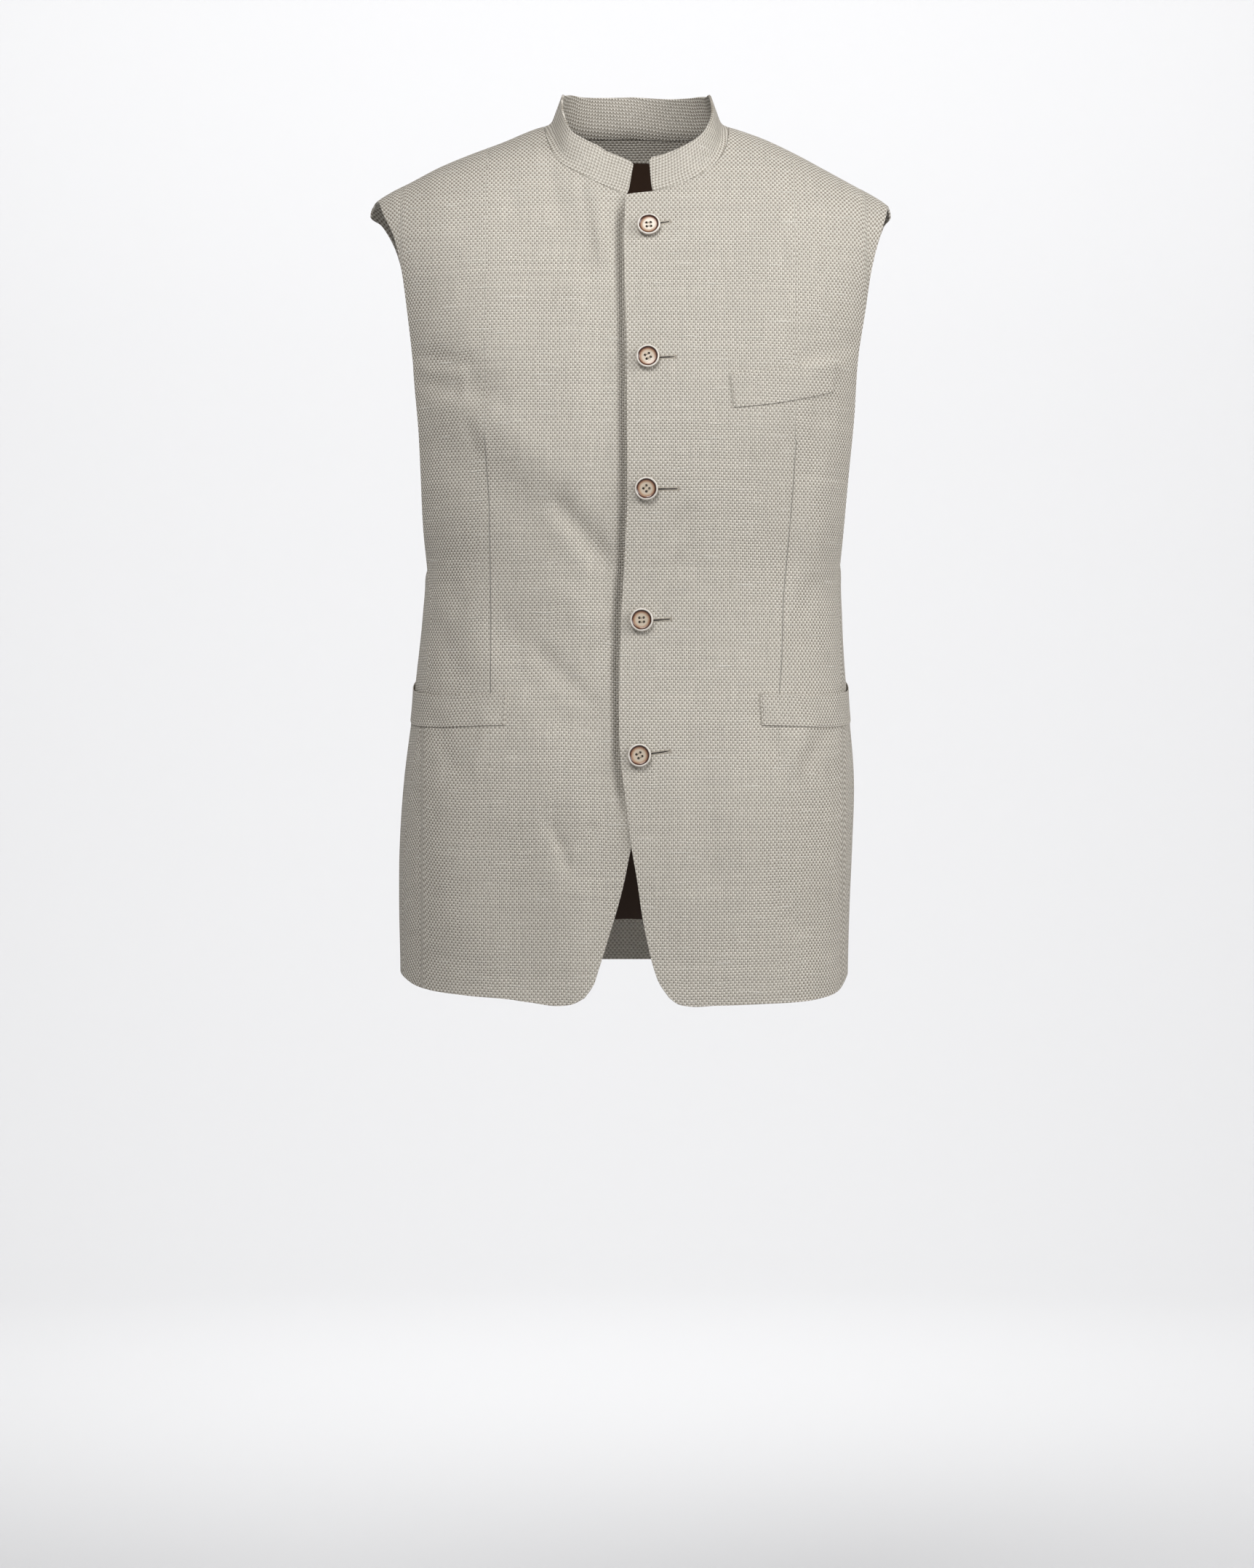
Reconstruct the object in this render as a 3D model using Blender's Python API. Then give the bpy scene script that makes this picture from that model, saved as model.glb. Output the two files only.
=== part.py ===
# Sleeveless nehru jacket: a buttoned, collared waistcoat of woven cloth, hollow, in its worn shape.
# Lengths below are in millimetres and each mesh is made in metres. The wearer's left is +X, the front
# faces -Y and +Z is up. The origin is the middle of the neck base, level with the shoulder-neck points.

import math

import bmesh
import bpy
import numpy as np
from mathutils import Matrix, Vector

MM = 0.001

# Cloth and seams
WALL = 1.8  # face cloth, fusing and lining together
WELT_WALL = 1.6
COLLAR_WALL = 2.2
SEAM_GAP = 0.3
LAY_GAP = 0.45  # under a piece that lies on a panel
OVERLAP_GAP = 0.8  # between the two layers of the buttoned front
OVERLAP_FROM = -50.0  # where the under layer starts to dip, and how wide the dip's slope is
OVERLAP_SLOPE = 32.0
PLACKET_FLAT = 0.85  # share of the folds that the buttoned strip takes out
PLACKET_FLAT_FROM = -32.0
PLACKET_FLAT_TO = 46.0
PLACKET_FLAT_SLOPE = 20.0

# Section of the worn form, and the round of the cloth over the shoulder
SQUARENESS = 2.5  # exponent of the superellipse in plan
RIDGE_ROUND = 50.0
SEAM_BEHIND = 10.0  # shoulder seam, behind the shoulder line, over the cloth
NECK_LIFT = 24.0  # rise of the back up to the nape
NECK_LIFT_SPAN = 115.0
NECK_LIFT_RUN = 45.0

# Collar band
BAND_SQUARE = 0.2  # how far the band's ends turn square to its seam
BAND_TURN = 0.35  # share of the height in which the band turns upright
BAND_MIDDLE_X = 3.0  # the band's turn is measured round this line
BAND_LEVELS = (0, 0.12, 0.28, 0.5, 0.75, 1.0)
BAND_CORNER_RIGHT = 1.6  # the band's top corners are cut down by this
BAND_CORNER_LEFT = 2.4

# Buttons
BUTTON_HOLE_RADIUS = 1.0
BUTTON_HOLE_OFFSET = 1.75
BUTTON_STEPS = 28
SHANK_GAP = 0.3
BUTTON_HOLE_SEGMENTS = 8

# Colours are linear values of the stone cloth and the horn-look resin
CLOTH = (0.53, 0.49, 0.41)
CLOTH_ROUGHNESS = 0.85
BUTTON = (0.62, 0.46, 0.32)
BUTTON_ROUGHNESS = 0.25
CLOTH_SHARP_ANGLE = math.radians(50)
BUTTON_SHARP_ANGLE = math.radians(40)

# Mesh density: columns round the body, rows up it
PLACKET_COLUMNS = 2
NECK_COLUMNS = 10
SHOULDER_COLUMNS = 10
NAPE_COLUMNS = 12
SIDE_COLUMNS = 8
ROWS_BELOW = 18  # hem to armpit
ROWS_ABOVE = 15  # armpit to shoulder
CORNER_CROWDING = 1.3  # draws rows and columns towards the rounded hem corner
SETTLING = 200  # rounds of evening out a panel's inner grid
SETTLING_WIDTH = 190.0  # mm per radian while it settles
NECK_PULL = 0.85  # draws rows up to the corners of the neck, and over how many rows and columns
NECK_PULL_ROWS = 3.5
NECK_PULL_COLUMNS = 2.5


def table(columns, *rows):
    return {name: np.array(values, float) for name, values in zip(columns.split(), zip(*rows))}


# Half-widths on the wearer's right and left, and depths in front of and behind the origin, at each height.
# Above the armpit the widths are those of the arm root, and the armholes are cut out of them.
FORM = table(
    "height right left front back",
    (-750, 198.0, 183.5, 117.0, 121.0),
    (-710, 198.5, 184.0, 118.5, 122.5),
    (-658, 199.5, 185.5, 121.0, 124.0),
    (-612, 199.0, 187.5, 123.0, 124.0),
    (-553, 195.0, 189.0, 123.0, 119.0),
    (-501, 188.5, 185.0, 119.0, 110.0),
    (-464, 184.5, 181.5, 115.0, 104.5),
    (-417, 179.5, 179.0, 112.5, 103.0),
    (-377, 177.5, 178.5, 114.0, 106.0),
    (-346, 183.0, 184.0, 117.5, 110.0),
    (-314, 188.0, 188.0, 121.0, 114.0),
    (-268, 193.0, 194.0, 124.5, 119.0),
    (-223, 197.0, 199.0, 125.5, 122.0),
    (-180, 203.0, 206.0, 125.5, 122.0),
    (-144, 210.0, 213.0, 125.0, 121.0),
    (-110, 222.0, 226.0, 124.5, 120.0),
    (-67, 245.0, 245.0, 124.0, 118.0),
)

# Height of the shoulder line on each side, out from the neck
SHOULDER = table(
    "across right left",
    (0, 14.0, 14.0),
    (30, 12.0, 12.5),
    (55, 8.0, 10.0),
    (80, 2.5, 3.8),
    (112, -10.5, -7.2),
    (140, -21.0, -20.5),
    (165, -31.5, -34.0),
    (190, -44.5, -47.5),
    (206, -52.5, -56.0),
    (218, -60.0, -64.0),
    (228, -69.0, -74.0),
)

# Drop below the shoulder line within which the cloth reaches its full depth
FALL = table(
    "across front back",
    (0, 370, 245),
    (40, 350, 255),
    (80, 320, 280),
    (120, 245, 240),
    (165, 190, 190),
    (200, 160, 160),
    (228, 138, 138),
)

# Where the front-to-side seam lies, as a share of the half-width
FRONT_SEAM = table(
    "height right left",
    (-750, 0.982, 0.988),
    (-680, 0.978, 0.986),
    (-550, 0.955, 0.984),
    (-460, 0.935, 0.984),
    (-377, 0.962, 0.984),
)
BACK_SEAM = table("height right left", (-750, 0.95, 0.95), (-460, 0.94, 0.94), (-377, 0.95, 0.95))

# Heights of the side panels' lower edge at their seams and middle, and of the armhole above them
SIDE_ENDS = table(
    "wearer_left hem_front hem_middle hem_back arm_front arm_middle arm_back",
    (0, -721.5, -716.0, -714.0, -377.0, -388.0, -374.0),
    (1, -723.0, -716.0, -714.0, -373.0, -388.0, -374.0),
)

# Front edges from the hem corner to the neck: the visible one closes left over right
RIGHT_EDGE = table(
    "x height",
    (-40.0, -736.0),
    (-33.3, -726.7),
    (-28.2, -712.3),
    (-21.0, -689.0),
    (-13.8, -665.5),
    (-7.8, -642.7),
    (-1.2, -611.0),
    (10.0, -568.0),
    (19.0, -532.0),
    (25.0, -495.0),
    (28.0, -445.0),
    (28.0, -375.0),
    (27.0, -220.0),
    (26.0, -67.0),
)
LEFT_EDGE = table(
    "x height",
    (30.0, -735.5),
    (22.2, -724.3),
    (17.4, -711.7),
    (12.6, -692.5),
    (7.8, -668.5),
    (3.6, -639.0),
    (-1.2, -611.0),
    (-6.0, -572.0),
    (-10.0, -540.0),
    (-11.0, -468.0),
    (-9.6, -420.0),
    (-7.0, -375.0),
    (-4.8, -328.0),
    (-4.8, -252.0),
    (-5.6, -175.0),
    (-7.2, -95.0),
    (-6.0, -65.0),
)

# Hems from the rounded corner to the side seam
RIGHT_HEM = table(
    "x height",
    (-40.0, -736.0),
    (-48.6, -740.5),
    (-61.8, -742.4),
    (-86.5, -739.5),
    (-105.5, -737.0),
    (-138.0, -734.8),
    (-171.3, -731.0),
    (-184.2, -727.5),
)
LEFT_HEM = table(
    "x height",
    (30.0, -735.5),
    (36.6, -740.5),
    (48.0, -742.9),
    (70.3, -742.2),
    (102.8, -741.5),
    (135.6, -740.6),
    (156.0, -738.5),
    (174.8, -732.0),
)

# Armhole edges of the fronts and the back, from the armpit to the shoulder
ARMHOLE = table(
    "height front_right front_left back_right back_left",
    (-346, -177.0, 178.3, -179.0, 180.5),
    (-297, -178.8, 182.5, -183.0, 185.5),
    (-251, -181.0, 186.8, -186.0, 190.0),
    (-199, -185.5, 190.0, -190.5, 194.0),
    (-160, -190.0, 196.1, -192.5, 198.0),
    (-122, -195.5, 202.1, -198.5, 204.0),
    (-96, -202.0, 209.0, -205.5, 211.0),
    (-78, -210.5, 214.8, -215.5, 217.0),
)
SHOULDER_TIP = table(
    "wearer_left front_x back_x seam_x",
    (0, -221.0, -225.5, -224.0),
    (1, 219.5, 222.0, 221.0),
)

# Front necklines from the placket to the shoulder, and the nape as distance behind the shoulder line
RIGHT_NECK = table(
    "x height",
    (-6.0, -64.5),
    (-24.9, -55.3),
    (-45.7, -45.4),
    (-62.6, -33.8),
    (-71.7, -15.7),
    (-75.0, -3.0),
)
LEFT_NECK = table(
    "x height",
    (17.0, -62.0),
    (31.1, -58.6),
    (43.3, -53.9),
    (58.1, -46.0),
    (71.6, -34.0),
    (79.0, -20.0),
    (81.5, -7.0),
)
NAPE = table("x behind", (-71, 28), (-58, 46), (-32, 62), (3, 68), (38, 62), (64, 46), (77, 28))
NECK_CORNER_X = {-1: -76.0, 1: 81.5}

# Soft folds: a line from one point to another, how far it spreads and how deep it lies (a ridge is negative)
FRONT_FOLDS = table(
    "x0 height0 x1 height1 spread depth",
    (-64, -52, -36, -135, 14, 2.6),
    (-38, -62, -20, -155, 13, -1.6),
    (-172, -205, -122, -236, 17, 3.2),
    (-176, -262, -70, -345, 22, 2.8),
    (-150, -232, -50, -312, 18, -1.6),
    (-62, -322, -16, -384, 14, 2.6),
    (-76, -384, -24, -434, 15, -1.6),
    (-112, -418, -40, -520, 22, 3.0),
    (-150, -395, -120, -470, 18, -2.0),
    (-64, -580, -42, -640, 14, 1.8),
    (-158, -560, -150, -690, 24, -2.0),
    (-105, -600, -96, -735, 26, 2.4),
    (184, -178, 132, -196, 16, 1.6),
    (132, -262, 128, -420, 18, 2.6),
    (158, -300, 152, -440, 17, -2.0),
    (164, -386, 146, -450, 15, 2.0),
    (34, -340, 10, -390, 14, 1.6),
    (62, -402, 24, -444, 15, -1.6),
    (150, -540, 156, -700, 22, 2.6),
    (96, -570, 88, -735, 26, -2.0),
    (52, -520, 62, -640, 18, 1.6),
)
BACK_FOLDS = table(
    "x0 height0 x1 height1 spread depth",
    (-176, -215, -118, -285, 15, 2.8),
    (178, -215, 122, -300, 15, 2.8),
    (-140, -330, -70, -430, 20, 3.0),
    (142, -330, 78, -440, 20, 2.8),
    (-112, -420, -30, -462, 13, 3.2),
    (104, -428, 20, -452, 13, 2.8),
    (-60, -60, 50, -66, 9, 2.0),
    (-84, -520, -92, -720, 24, 2.4),
    (8, -500, 2, -715, 26, -2.2),
    (92, -520, 98, -720, 24, 2.6),
)

# Collar band, by its turn from the front (0) to the nape (1): lean from level and height of the band
BAND = table(
    "turn lean height",
    (0, 64, 33.5),
    (0.15, 71, 32.0),
    (0.3, 79, 29.5),
    (0.45, 70, 32.5),
    (0.6, 71, 35.0),
    (1, 80, 36.0),
)

# Welts: the chest one slopes up to the armhole, the hip ones run round on to the side
CHEST_WELT = table(
    "x top bottom",
    (80.5, -219.8, -247.5),
    (112, -215.0, -244.0),
    (144, -209.5, -237.5),
    (170, -201.0, -230.0),
)
HIP_WELT = table(
    "along top bottom",
    (0, -483.5, -510.0),
    (0.5, -483.5, -510.5),
    (0.75, -478.5, -507.0),
    (1, -466.0, -496.0),
)
CHEST_WELT_TAPER = 3.0  # its lower edge is shorter by this at each end
HIP_WELT_FROM = {-1: math.radians(29), 1: math.radians(30)}
HIP_WELT_TO = math.radians(98)
WELT_COLUMNS = 11
WELT_ROWS = 3
MOUTH_GAPE = 1.6  # how far a hip welt's top stands off near the side, and between which shares of its length
MOUTH_FROM = 0.3
MOUTH_TO = 0.98
MOUTH_SLOPE = 0.3

# Button centres, from the collar down, and how far each is turned
BUTTONS = table(
    "x height turn",
    (13.4, -93.0, 5),
    (12.5, -205.2, 25),
    (11.2, -314.4, 45),
    (7.4, -422.9, 3),
    (5.4, -535.2, 28),
)

# Half a button in section, from the middle of its back to the middle of its dish: radius, height
BUTTON_PROFILE = table(
    "radius height",
    (0.0, 0.0),
    (3.2, 0.0),
    (4.0, 0.9),
    (8.6, 1.5),
    (9.8, 2.7),
    (9.3, 4.0),
    (8.1, 4.4),
    (6.6, 3.1),
    (0.0, 2.8),
)


def smooth(at, knots, values):
    """Value of the smooth curve through the knots."""
    slopes = np.gradient(values, knots)
    at = np.clip(at, knots[0], knots[-1])
    i = np.clip(np.searchsorted(knots, at) - 1, 0, len(knots) - 2)
    width = knots[i + 1] - knots[i]
    t = (at - knots[i]) / width
    start = (1 + 2 * t) * (1 - t) ** 2 * values[i] + t * (1 - t) ** 2 * width * slopes[i]
    end = t * t * (3 - 2 * t) * values[i + 1] + t * t * (t - 1) * width * slopes[i + 1]
    return start + end


def ease(t):
    t = np.clip(t, 0, 1)
    return t * t * (3 - 2 * t)


def by_side(x, rows, knot, at):
    """A column pair named right and left, read on the side where x lies."""
    right, left = (smooth(at, rows[knot], rows[side]) for side in ("right", "left"))
    return np.where(x < 0, right, left)


def half_width(x, height):
    return by_side(x, FORM, "height", height)


def shoulder_line(x):
    return by_side(x, SHOULDER, "across", np.abs(x))


def neck_lift(x):
    return NECK_LIFT * np.clip(1 - (x / NECK_LIFT_SPAN) ** 2, 0, 1) ** 2


def folds(x, height, rows):
    """Sum of the soft troughs and ridges at a place on the front or the back."""
    total = np.zeros(np.broadcast(x, height).shape)
    for x0, z0, x1, z1, spread, depth in zip(*rows.values()):
        length = math.hypot(x1 - x0, z1 - z0)
        along = ((x - x0) * (x1 - x0) + (height - z0) * (z1 - z0)) / length**2
        off = ((x - x0) * (z1 - z0) - (height - z0) * (x1 - x0)) / length
        taper = ease(along / 0.3 + 0.5) * ease((1 - along) / 0.3 + 0.5)
        total += depth * taper * np.exp(-((off / spread) ** 2))
    return total


def placket_flat(x):
    """Share of a fold that stays at x: the buttoned strip lies flatter."""
    rising, falling = x - PLACKET_FLAT_FROM, PLACKET_FLAT_TO - x
    return 1 - PLACKET_FLAT * ease(rising / PLACKET_FLAT_SLOPE) * ease(falling / PLACKET_FLAT_SLOPE)


def by_end(back, at, rows, knot):
    """A column pair named front and back, read at the front or the back."""
    behind, before = (smooth(at, rows[knot], rows[end]) for end in ("back", "front"))
    return np.where(back, behind, before)


def depth_at(x, height, reach, rise, back):
    """Y of the cloth: the form's depth, less by reach towards the side and by rise towards the shoulder."""
    full = by_end(back, height, FORM, "height")
    crease = np.where(back, folds(x, height, BACK_FOLDS), placket_flat(x) * folds(x, height, FRONT_FOLDS))
    depth = full * reach * rise - crease * rise * ease(1.6 * reach)
    return np.where(back, depth, -depth)


def over_shoulder(x, distance):
    """Point of the cloth at x, a distance in front of the shoulder line (behind it where negative)."""
    back = distance < 0
    drop = np.sqrt(distance**2 + RIDGE_ROUND**2) - RIDGE_ROUND
    height = shoulder_line(x) + neck_lift(x) * ease(-distance / NECK_LIFT_RUN) - drop
    fall = by_end(back, np.abs(x), FALL, "across")
    rise = np.sqrt(1 - (1 - np.clip(drop / fall, 0, 1)) ** 2)
    share = np.clip(np.abs(x) / half_width(x, height), 0, 1)
    reach = (1 - share**SQUARENESS) ** (1 / SQUARENESS)
    return np.stack(np.broadcast_arrays(x, depth_at(x, height, reach, rise, back), height), axis=-1)


def round_side(angle, height):
    """Point of the cloth below the armpit, by its angle from the front, positive on the wearer's left."""
    across = np.sign(angle) * np.abs(np.sin(angle)) ** (2 / SQUARENESS)
    x = across * half_width(angle, height)
    reach = np.abs(np.cos(angle)) ** (2 / SQUARENESS)
    y = depth_at(x, height, reach, 1.0, np.cos(angle) < 0)
    return np.stack(np.broadcast_arrays(x, y, height), axis=-1)


def distance_for(x, height, back=False):
    """Distance from the shoulder line at which the cloth at x has this height."""
    drop = shoulder_line(x) + (neck_lift(x) if back else 0) - height
    distance = np.sqrt(drop * (drop + 2 * RIDGE_ROUND))
    return -distance if back else distance


def normals_of(place, a, b):
    """Outward normals of a surface, from small steps along its two parameters."""
    step = 1e-3
    along_a = place(a + step, b) - place(a - step, b)
    along_b = place(a, b + step) - place(a, b - step)
    normal = np.cross(along_a, along_b)
    normal /= np.linalg.norm(normal, axis=-1, keepdims=True)
    inside = np.array((0, 0, FORM["height"].mean()))
    outward = ((place(a, b) - inside) * normal).sum(axis=-1, keepdims=True)
    return normal * np.sign(outward)


def half_gap(place, a, b, along_b=False):
    """Parameter step that moves half a seam gap over the surface."""
    step = 1e-3
    ahead = place(a, b + step) if along_b else place(a + step, b)
    return SEAM_GAP / 2 * step / np.linalg.norm(ahead - place(a, b), axis=-1)


def resample(x, distance, shares):
    """Parameters at the given shares of the length of a smooth curve laid over the cloth."""
    chord = np.concatenate([[0], np.cumsum(np.hypot(np.diff(x), np.diff(distance)))])
    fine = np.linspace(0, chord[-1], 40 * len(x))
    curve = smooth(fine, chord, x), smooth(fine, chord, distance)
    steps = np.linalg.norm(np.diff(over_shoulder(*curve), axis=0), axis=-1)
    length = np.concatenate([[0], np.cumsum(steps)])
    at = np.asarray(shares) * length[-1]
    return np.stack([np.interp(at, length, curve[0]), np.interp(at, length, curve[1])], axis=-1)


def shares(count, crowding=1.0):
    return (np.arange(count + 1) / count) ** crowding


def turned(grid, to_angle):
    """The grid's x as angles round the form, which space the columns evenly near the side, or back again."""
    given, distance = grid[..., 0], grid[..., 1]
    x = given if to_angle else given * 100
    for _ in range(1 if to_angle else 8):
        width = half_width(x, over_shoulder(x, distance)[..., 2])
        new = np.arcsin(x / width) if to_angle else np.sin(given) * width
        x = new
    return np.stack([x, distance], axis=-1)


def fill(corners_at, *boundaries):
    """Grid between the bottom, top, inner and outer boundary, as [row, column, (x, distance)].
    The top has neck corners at the given columns."""
    bottom, top, inner, outer = (turned(run, to_angle=True) for run in boundaries)
    u = np.linspace(0, 1, len(bottom))[None, :, None]
    v = np.linspace(0, 1, len(inner))[:, None, None]
    ends = (1 - v) * bottom[None] + v * top[None] + (1 - u) * inner[:, None] + u * outer[:, None]
    low, high = ((1 - u) * run[0] + u * run[-1] for run in (bottom, top))
    corners = (1 - v) * low + v * high
    return turned(settle(ends - corners, corners_at), to_angle=False)


def settle(grid, corners_at):
    """Evens out the grid inside its boundary without letting its lines cross."""
    grid = grid * (SETTLING_WIDTH, 1)
    row, column = np.mgrid[1 : len(grid) - 1, 1 : grid.shape[1] - 1]
    near = sum(np.exp(-(((column - corner) / NECK_PULL_COLUMNS) ** 2)) for corner in corners_at)
    pull = (NECK_PULL * near * np.exp((row - len(grid) + 2) / NECK_PULL_ROWS))[..., None]
    for _ in range(SETTLING):
        across = (grid[1:-1, 2:] - grid[1:-1, :-2]) / 2
        up = (grid[2:, 1:-1] - grid[:-2, 1:-1]) / 2
        skew = (grid[2:, 2:] - grid[2:, :-2] - grid[:-2, 2:] + grid[:-2, :-2]) / 4
        a, b, c = ((p * q).sum(axis=-1, keepdims=True) for p, q in ((up, up), (across, up), (across, across)))
        rows = c * ((1 + pull) * grid[2:, 1:-1] + (1 - pull) * grid[:-2, 1:-1])
        columns = a * (grid[1:-1, 2:] + grid[1:-1, :-2])
        grid[1:-1, 1:-1] = (rows + columns - 2 * b * skew) / (2 * (a + c))
    return grid / (SETTLING_WIDTH, 1)


def join(*runs):
    """Runs end to end, each starting where the last one ends."""
    return np.concatenate([runs[0]] + [run[1:] for run in runs[1:]])


def seam_share(side, height, rows):
    return smooth(height, rows["height"], rows["left" if side > 0 else "right"])


def seam_x(side, height, rows):
    return side * seam_share(side, height, rows) * half_width(np.full_like(height, side), height)


def seam_angle(side, height, rows):
    """Angle round the form, from its front or its back, at which a seam runs."""
    return side * np.arcsin(seam_share(side, height, rows) ** (SQUARENESS / 2))


def row_heights(low, high):
    return low + (high - low) * shares(ROWS_BELOW, CORNER_CROWDING)


def side_end(side, column):
    return SIDE_ENDS[column][int(side > 0)]


def outer_boundary(side, back):
    """Side seam from the hem to the armpit, then the armhole edge up to the shoulder seam."""
    where = "back" if back else "front"
    sign = -1 if back else 1
    tip = {name: column[int(side > 0)] for name, column in SHOULDER_TIP.items()}
    heights = row_heights(side_end(side, f"hem_{where}"), side_end(side, f"arm_{where}"))
    x = seam_x(side, heights, BACK_SEAM if back else FRONT_SEAM)
    below = distance_for(x, heights, back)
    x = x - side * half_gap(over_shoulder, x, below)
    seam = np.stack([x, distance_for(x, heights, back)], axis=-1)
    edge_x = ARMHOLE[f"{where}_{'left' if side > 0 else 'right'}"]
    edge = np.stack([edge_x, distance_for(edge_x, ARMHOLE["height"], back)], axis=-1)
    end = -SEAM_BEHIND + sign * half_gap(over_shoulder, tip["seam_x"], -SEAM_BEHIND, along_b=True)
    middle = -2.0 * SEAM_BEHIND if back else 0.0
    knots = np.concatenate([seam[-1:], edge, [[tip[f"{where}_x"], middle], [tip["seam_x"], end]]])
    return join(seam, resample(knots[:, 0], knots[:, 1], shares(ROWS_ABOVE)))


def neck_corner(side, back):
    """Where the neckline meets the shoulder seam."""
    x = NECK_CORNER_X[side]
    gap = half_gap(over_shoulder, x, -SEAM_BEHIND, along_b=True)
    return np.array([x, -SEAM_BEHIND + (-gap if back else gap)])


def front_grid(side):
    """Parameters of a front panel: rows from the hem up, columns from the front edge outwards."""
    edge = LEFT_EDGE if side > 0 else RIGHT_EDGE
    hem = LEFT_HEM if side > 0 else RIGHT_HEM
    neck = LEFT_NECK if side > 0 else RIGHT_NECK
    outer = outer_boundary(side, back=False)
    corner = neck_corner(side, back=False)
    edge_distance = distance_for(edge["x"], edge["height"])
    split = int(np.argmin(np.abs(edge["height"] - side_end(side, "arm_front"))))
    inner = join(
        resample(edge["x"][: split + 1], edge_distance[: split + 1], shares(ROWS_BELOW, CORNER_CROWDING)),
        resample(edge["x"][split:], edge_distance[split:], shares(ROWS_ABOVE)),
    )
    hem_x = np.append(hem["x"], outer[0, 0])
    hem_distance = np.append(distance_for(hem["x"], hem["height"]), outer[0, 1])
    bottom = resample(hem_x, hem_distance, shares(len(top_shares()) - 1, CORNER_CROWDING))
    neck_x = np.append(neck["x"], corner[0])
    neck_distance = np.append(distance_for(neck["x"], neck["height"]), corner[1])
    start = np.array([inner[-1], [neck_x[0], neck_distance[0]]])
    placket = resample(start[:, 0], start[:, 1], shares(PLACKET_COLUMNS))
    neckline = resample(neck_x, neck_distance, shares(NECK_COLUMNS))
    top = join(placket, neckline, shoulder_seam(side, back=False))
    return fill([PLACKET_COLUMNS + NECK_COLUMNS], bottom, top, inner, outer)


def top_shares():
    return shares(PLACKET_COLUMNS + NECK_COLUMNS + SHOULDER_COLUMNS)


def shoulder_seam(side, back):
    """Shoulder seam from the neck to the tip."""
    sign = -1 if back else 1
    tip = SHOULDER_TIP["seam_x"][int(side > 0)]
    x = np.linspace(NECK_CORNER_X[side], tip, SHOULDER_COLUMNS + 1)
    gap = half_gap(over_shoulder, x, np.full_like(x, -SEAM_BEHIND), along_b=True)
    return np.stack([x, -SEAM_BEHIND + sign * gap], axis=-1)


def back_grid():
    """Parameters of the back panel, columns from the wearer's right to the left."""
    right = outer_boundary(-1, back=True)
    left = outer_boundary(1, back=True)
    nape_x = np.concatenate([[NECK_CORNER_X[-1]], NAPE["x"], [NECK_CORNER_X[1]]])
    nape_distance = np.concatenate([[neck_corner(-1, True)[1]], -NAPE["behind"], [neck_corner(1, True)[1]]])
    nape = resample(nape_x, nape_distance, shares(NAPE_COLUMNS))
    top = join(shoulder_seam(-1, back=True)[::-1], nape, shoulder_seam(1, back=True))
    hem_x = np.linspace(right[0, 0], left[0, 0], len(top))
    height = np.interp(hem_x, hem_x[[0, -1]], [side_end(-1, "hem_back"), side_end(1, "hem_back")])
    bottom = np.stack([hem_x, distance_for(hem_x, height, back=True)], axis=-1)
    return fill([SHOULDER_COLUMNS, SHOULDER_COLUMNS + NAPE_COLUMNS], bottom, top, right, left)


def side_grid(side):
    """Angles and heights of a side panel, columns from the front seam to the back seam."""
    hem = [side_end(side, f"hem_{end}") for end in ("front", "middle", "back")]
    arm = [side_end(side, f"arm_{end}") for end in ("front", "middle", "back")]
    u = np.linspace(0, 1, SIDE_COLUMNS + 1)
    at = np.array([0, 0.5, 1])
    low, high = smooth(u, at, np.array(hem)), smooth(u, at, np.array(arm))
    heights = low + (high - low) * shares(ROWS_BELOW, CORNER_CROWDING)[:, None]
    start = seam_angle(side, heights[:, 0], FRONT_SEAM)
    end = side * math.pi - seam_angle(side, heights[:, -1], BACK_SEAM)
    start = start + side * half_gap(round_side, start, heights[:, 0])
    end = end - side * half_gap(round_side, end, heights[:, -1])
    angles = start[:, None] + (end - start)[:, None] * u
    return angles, heights


def overlap_lift(x):
    """The wearer's right front lies under the left one near its edge."""
    return -(WALL + OVERLAP_GAP) * ease((x - OVERLAP_FROM) / OVERLAP_SLOPE)


def principled(name, colour, roughness):
    material = bpy.data.materials.new(name)
    material.use_nodes = True
    shader = material.node_tree.nodes["Principled BSDF"]
    shader.inputs["Base Color"].default_value = (*colour, 1)
    shader.inputs["Roughness"].default_value = roughness
    shader.inputs["Metallic"].default_value = 0
    return material


def finish(obj, colour, roughness, group):
    obj.data.materials.append(principled(obj.name, colour, roughness))
    group.objects.link(obj)
    return obj


def cloth_wall(name, outer, inner, group):
    """Closed wall of cloth between two grids of points."""
    rows, columns = outer.shape[:2]
    mesh = bpy.data.meshes.new(name)
    bm = bmesh.new()
    layers = [[[bm.verts.new(point * MM) for point in row] for row in grid] for grid in (outer, inner)]
    for layer in layers:
        for r in range(rows - 1):
            for c in range(columns - 1):
                bm.faces.new((layer[r][c], layer[r][c + 1], layer[r + 1][c + 1], layer[r + 1][c]))
    out, back = layers
    for r in range(rows - 1):
        for c in (0, columns - 1):
            bm.faces.new((out[r][c], out[r + 1][c], back[r + 1][c], back[r][c]))
    for c in range(columns - 1):
        for r in (0, rows - 1):
            bm.faces.new((out[r][c], out[r][c + 1], back[r][c + 1], back[r][c]))
    bmesh.ops.recalc_face_normals(bm, faces=bm.faces)
    bm.to_mesh(mesh)
    bm.free()
    mesh.shade_smooth()
    mesh.set_sharp_from_angle(angle=CLOTH_SHARP_ANGLE)
    return finish(bpy.data.objects.new(name, mesh), CLOTH, CLOTH_ROUGHNESS, group)


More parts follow.
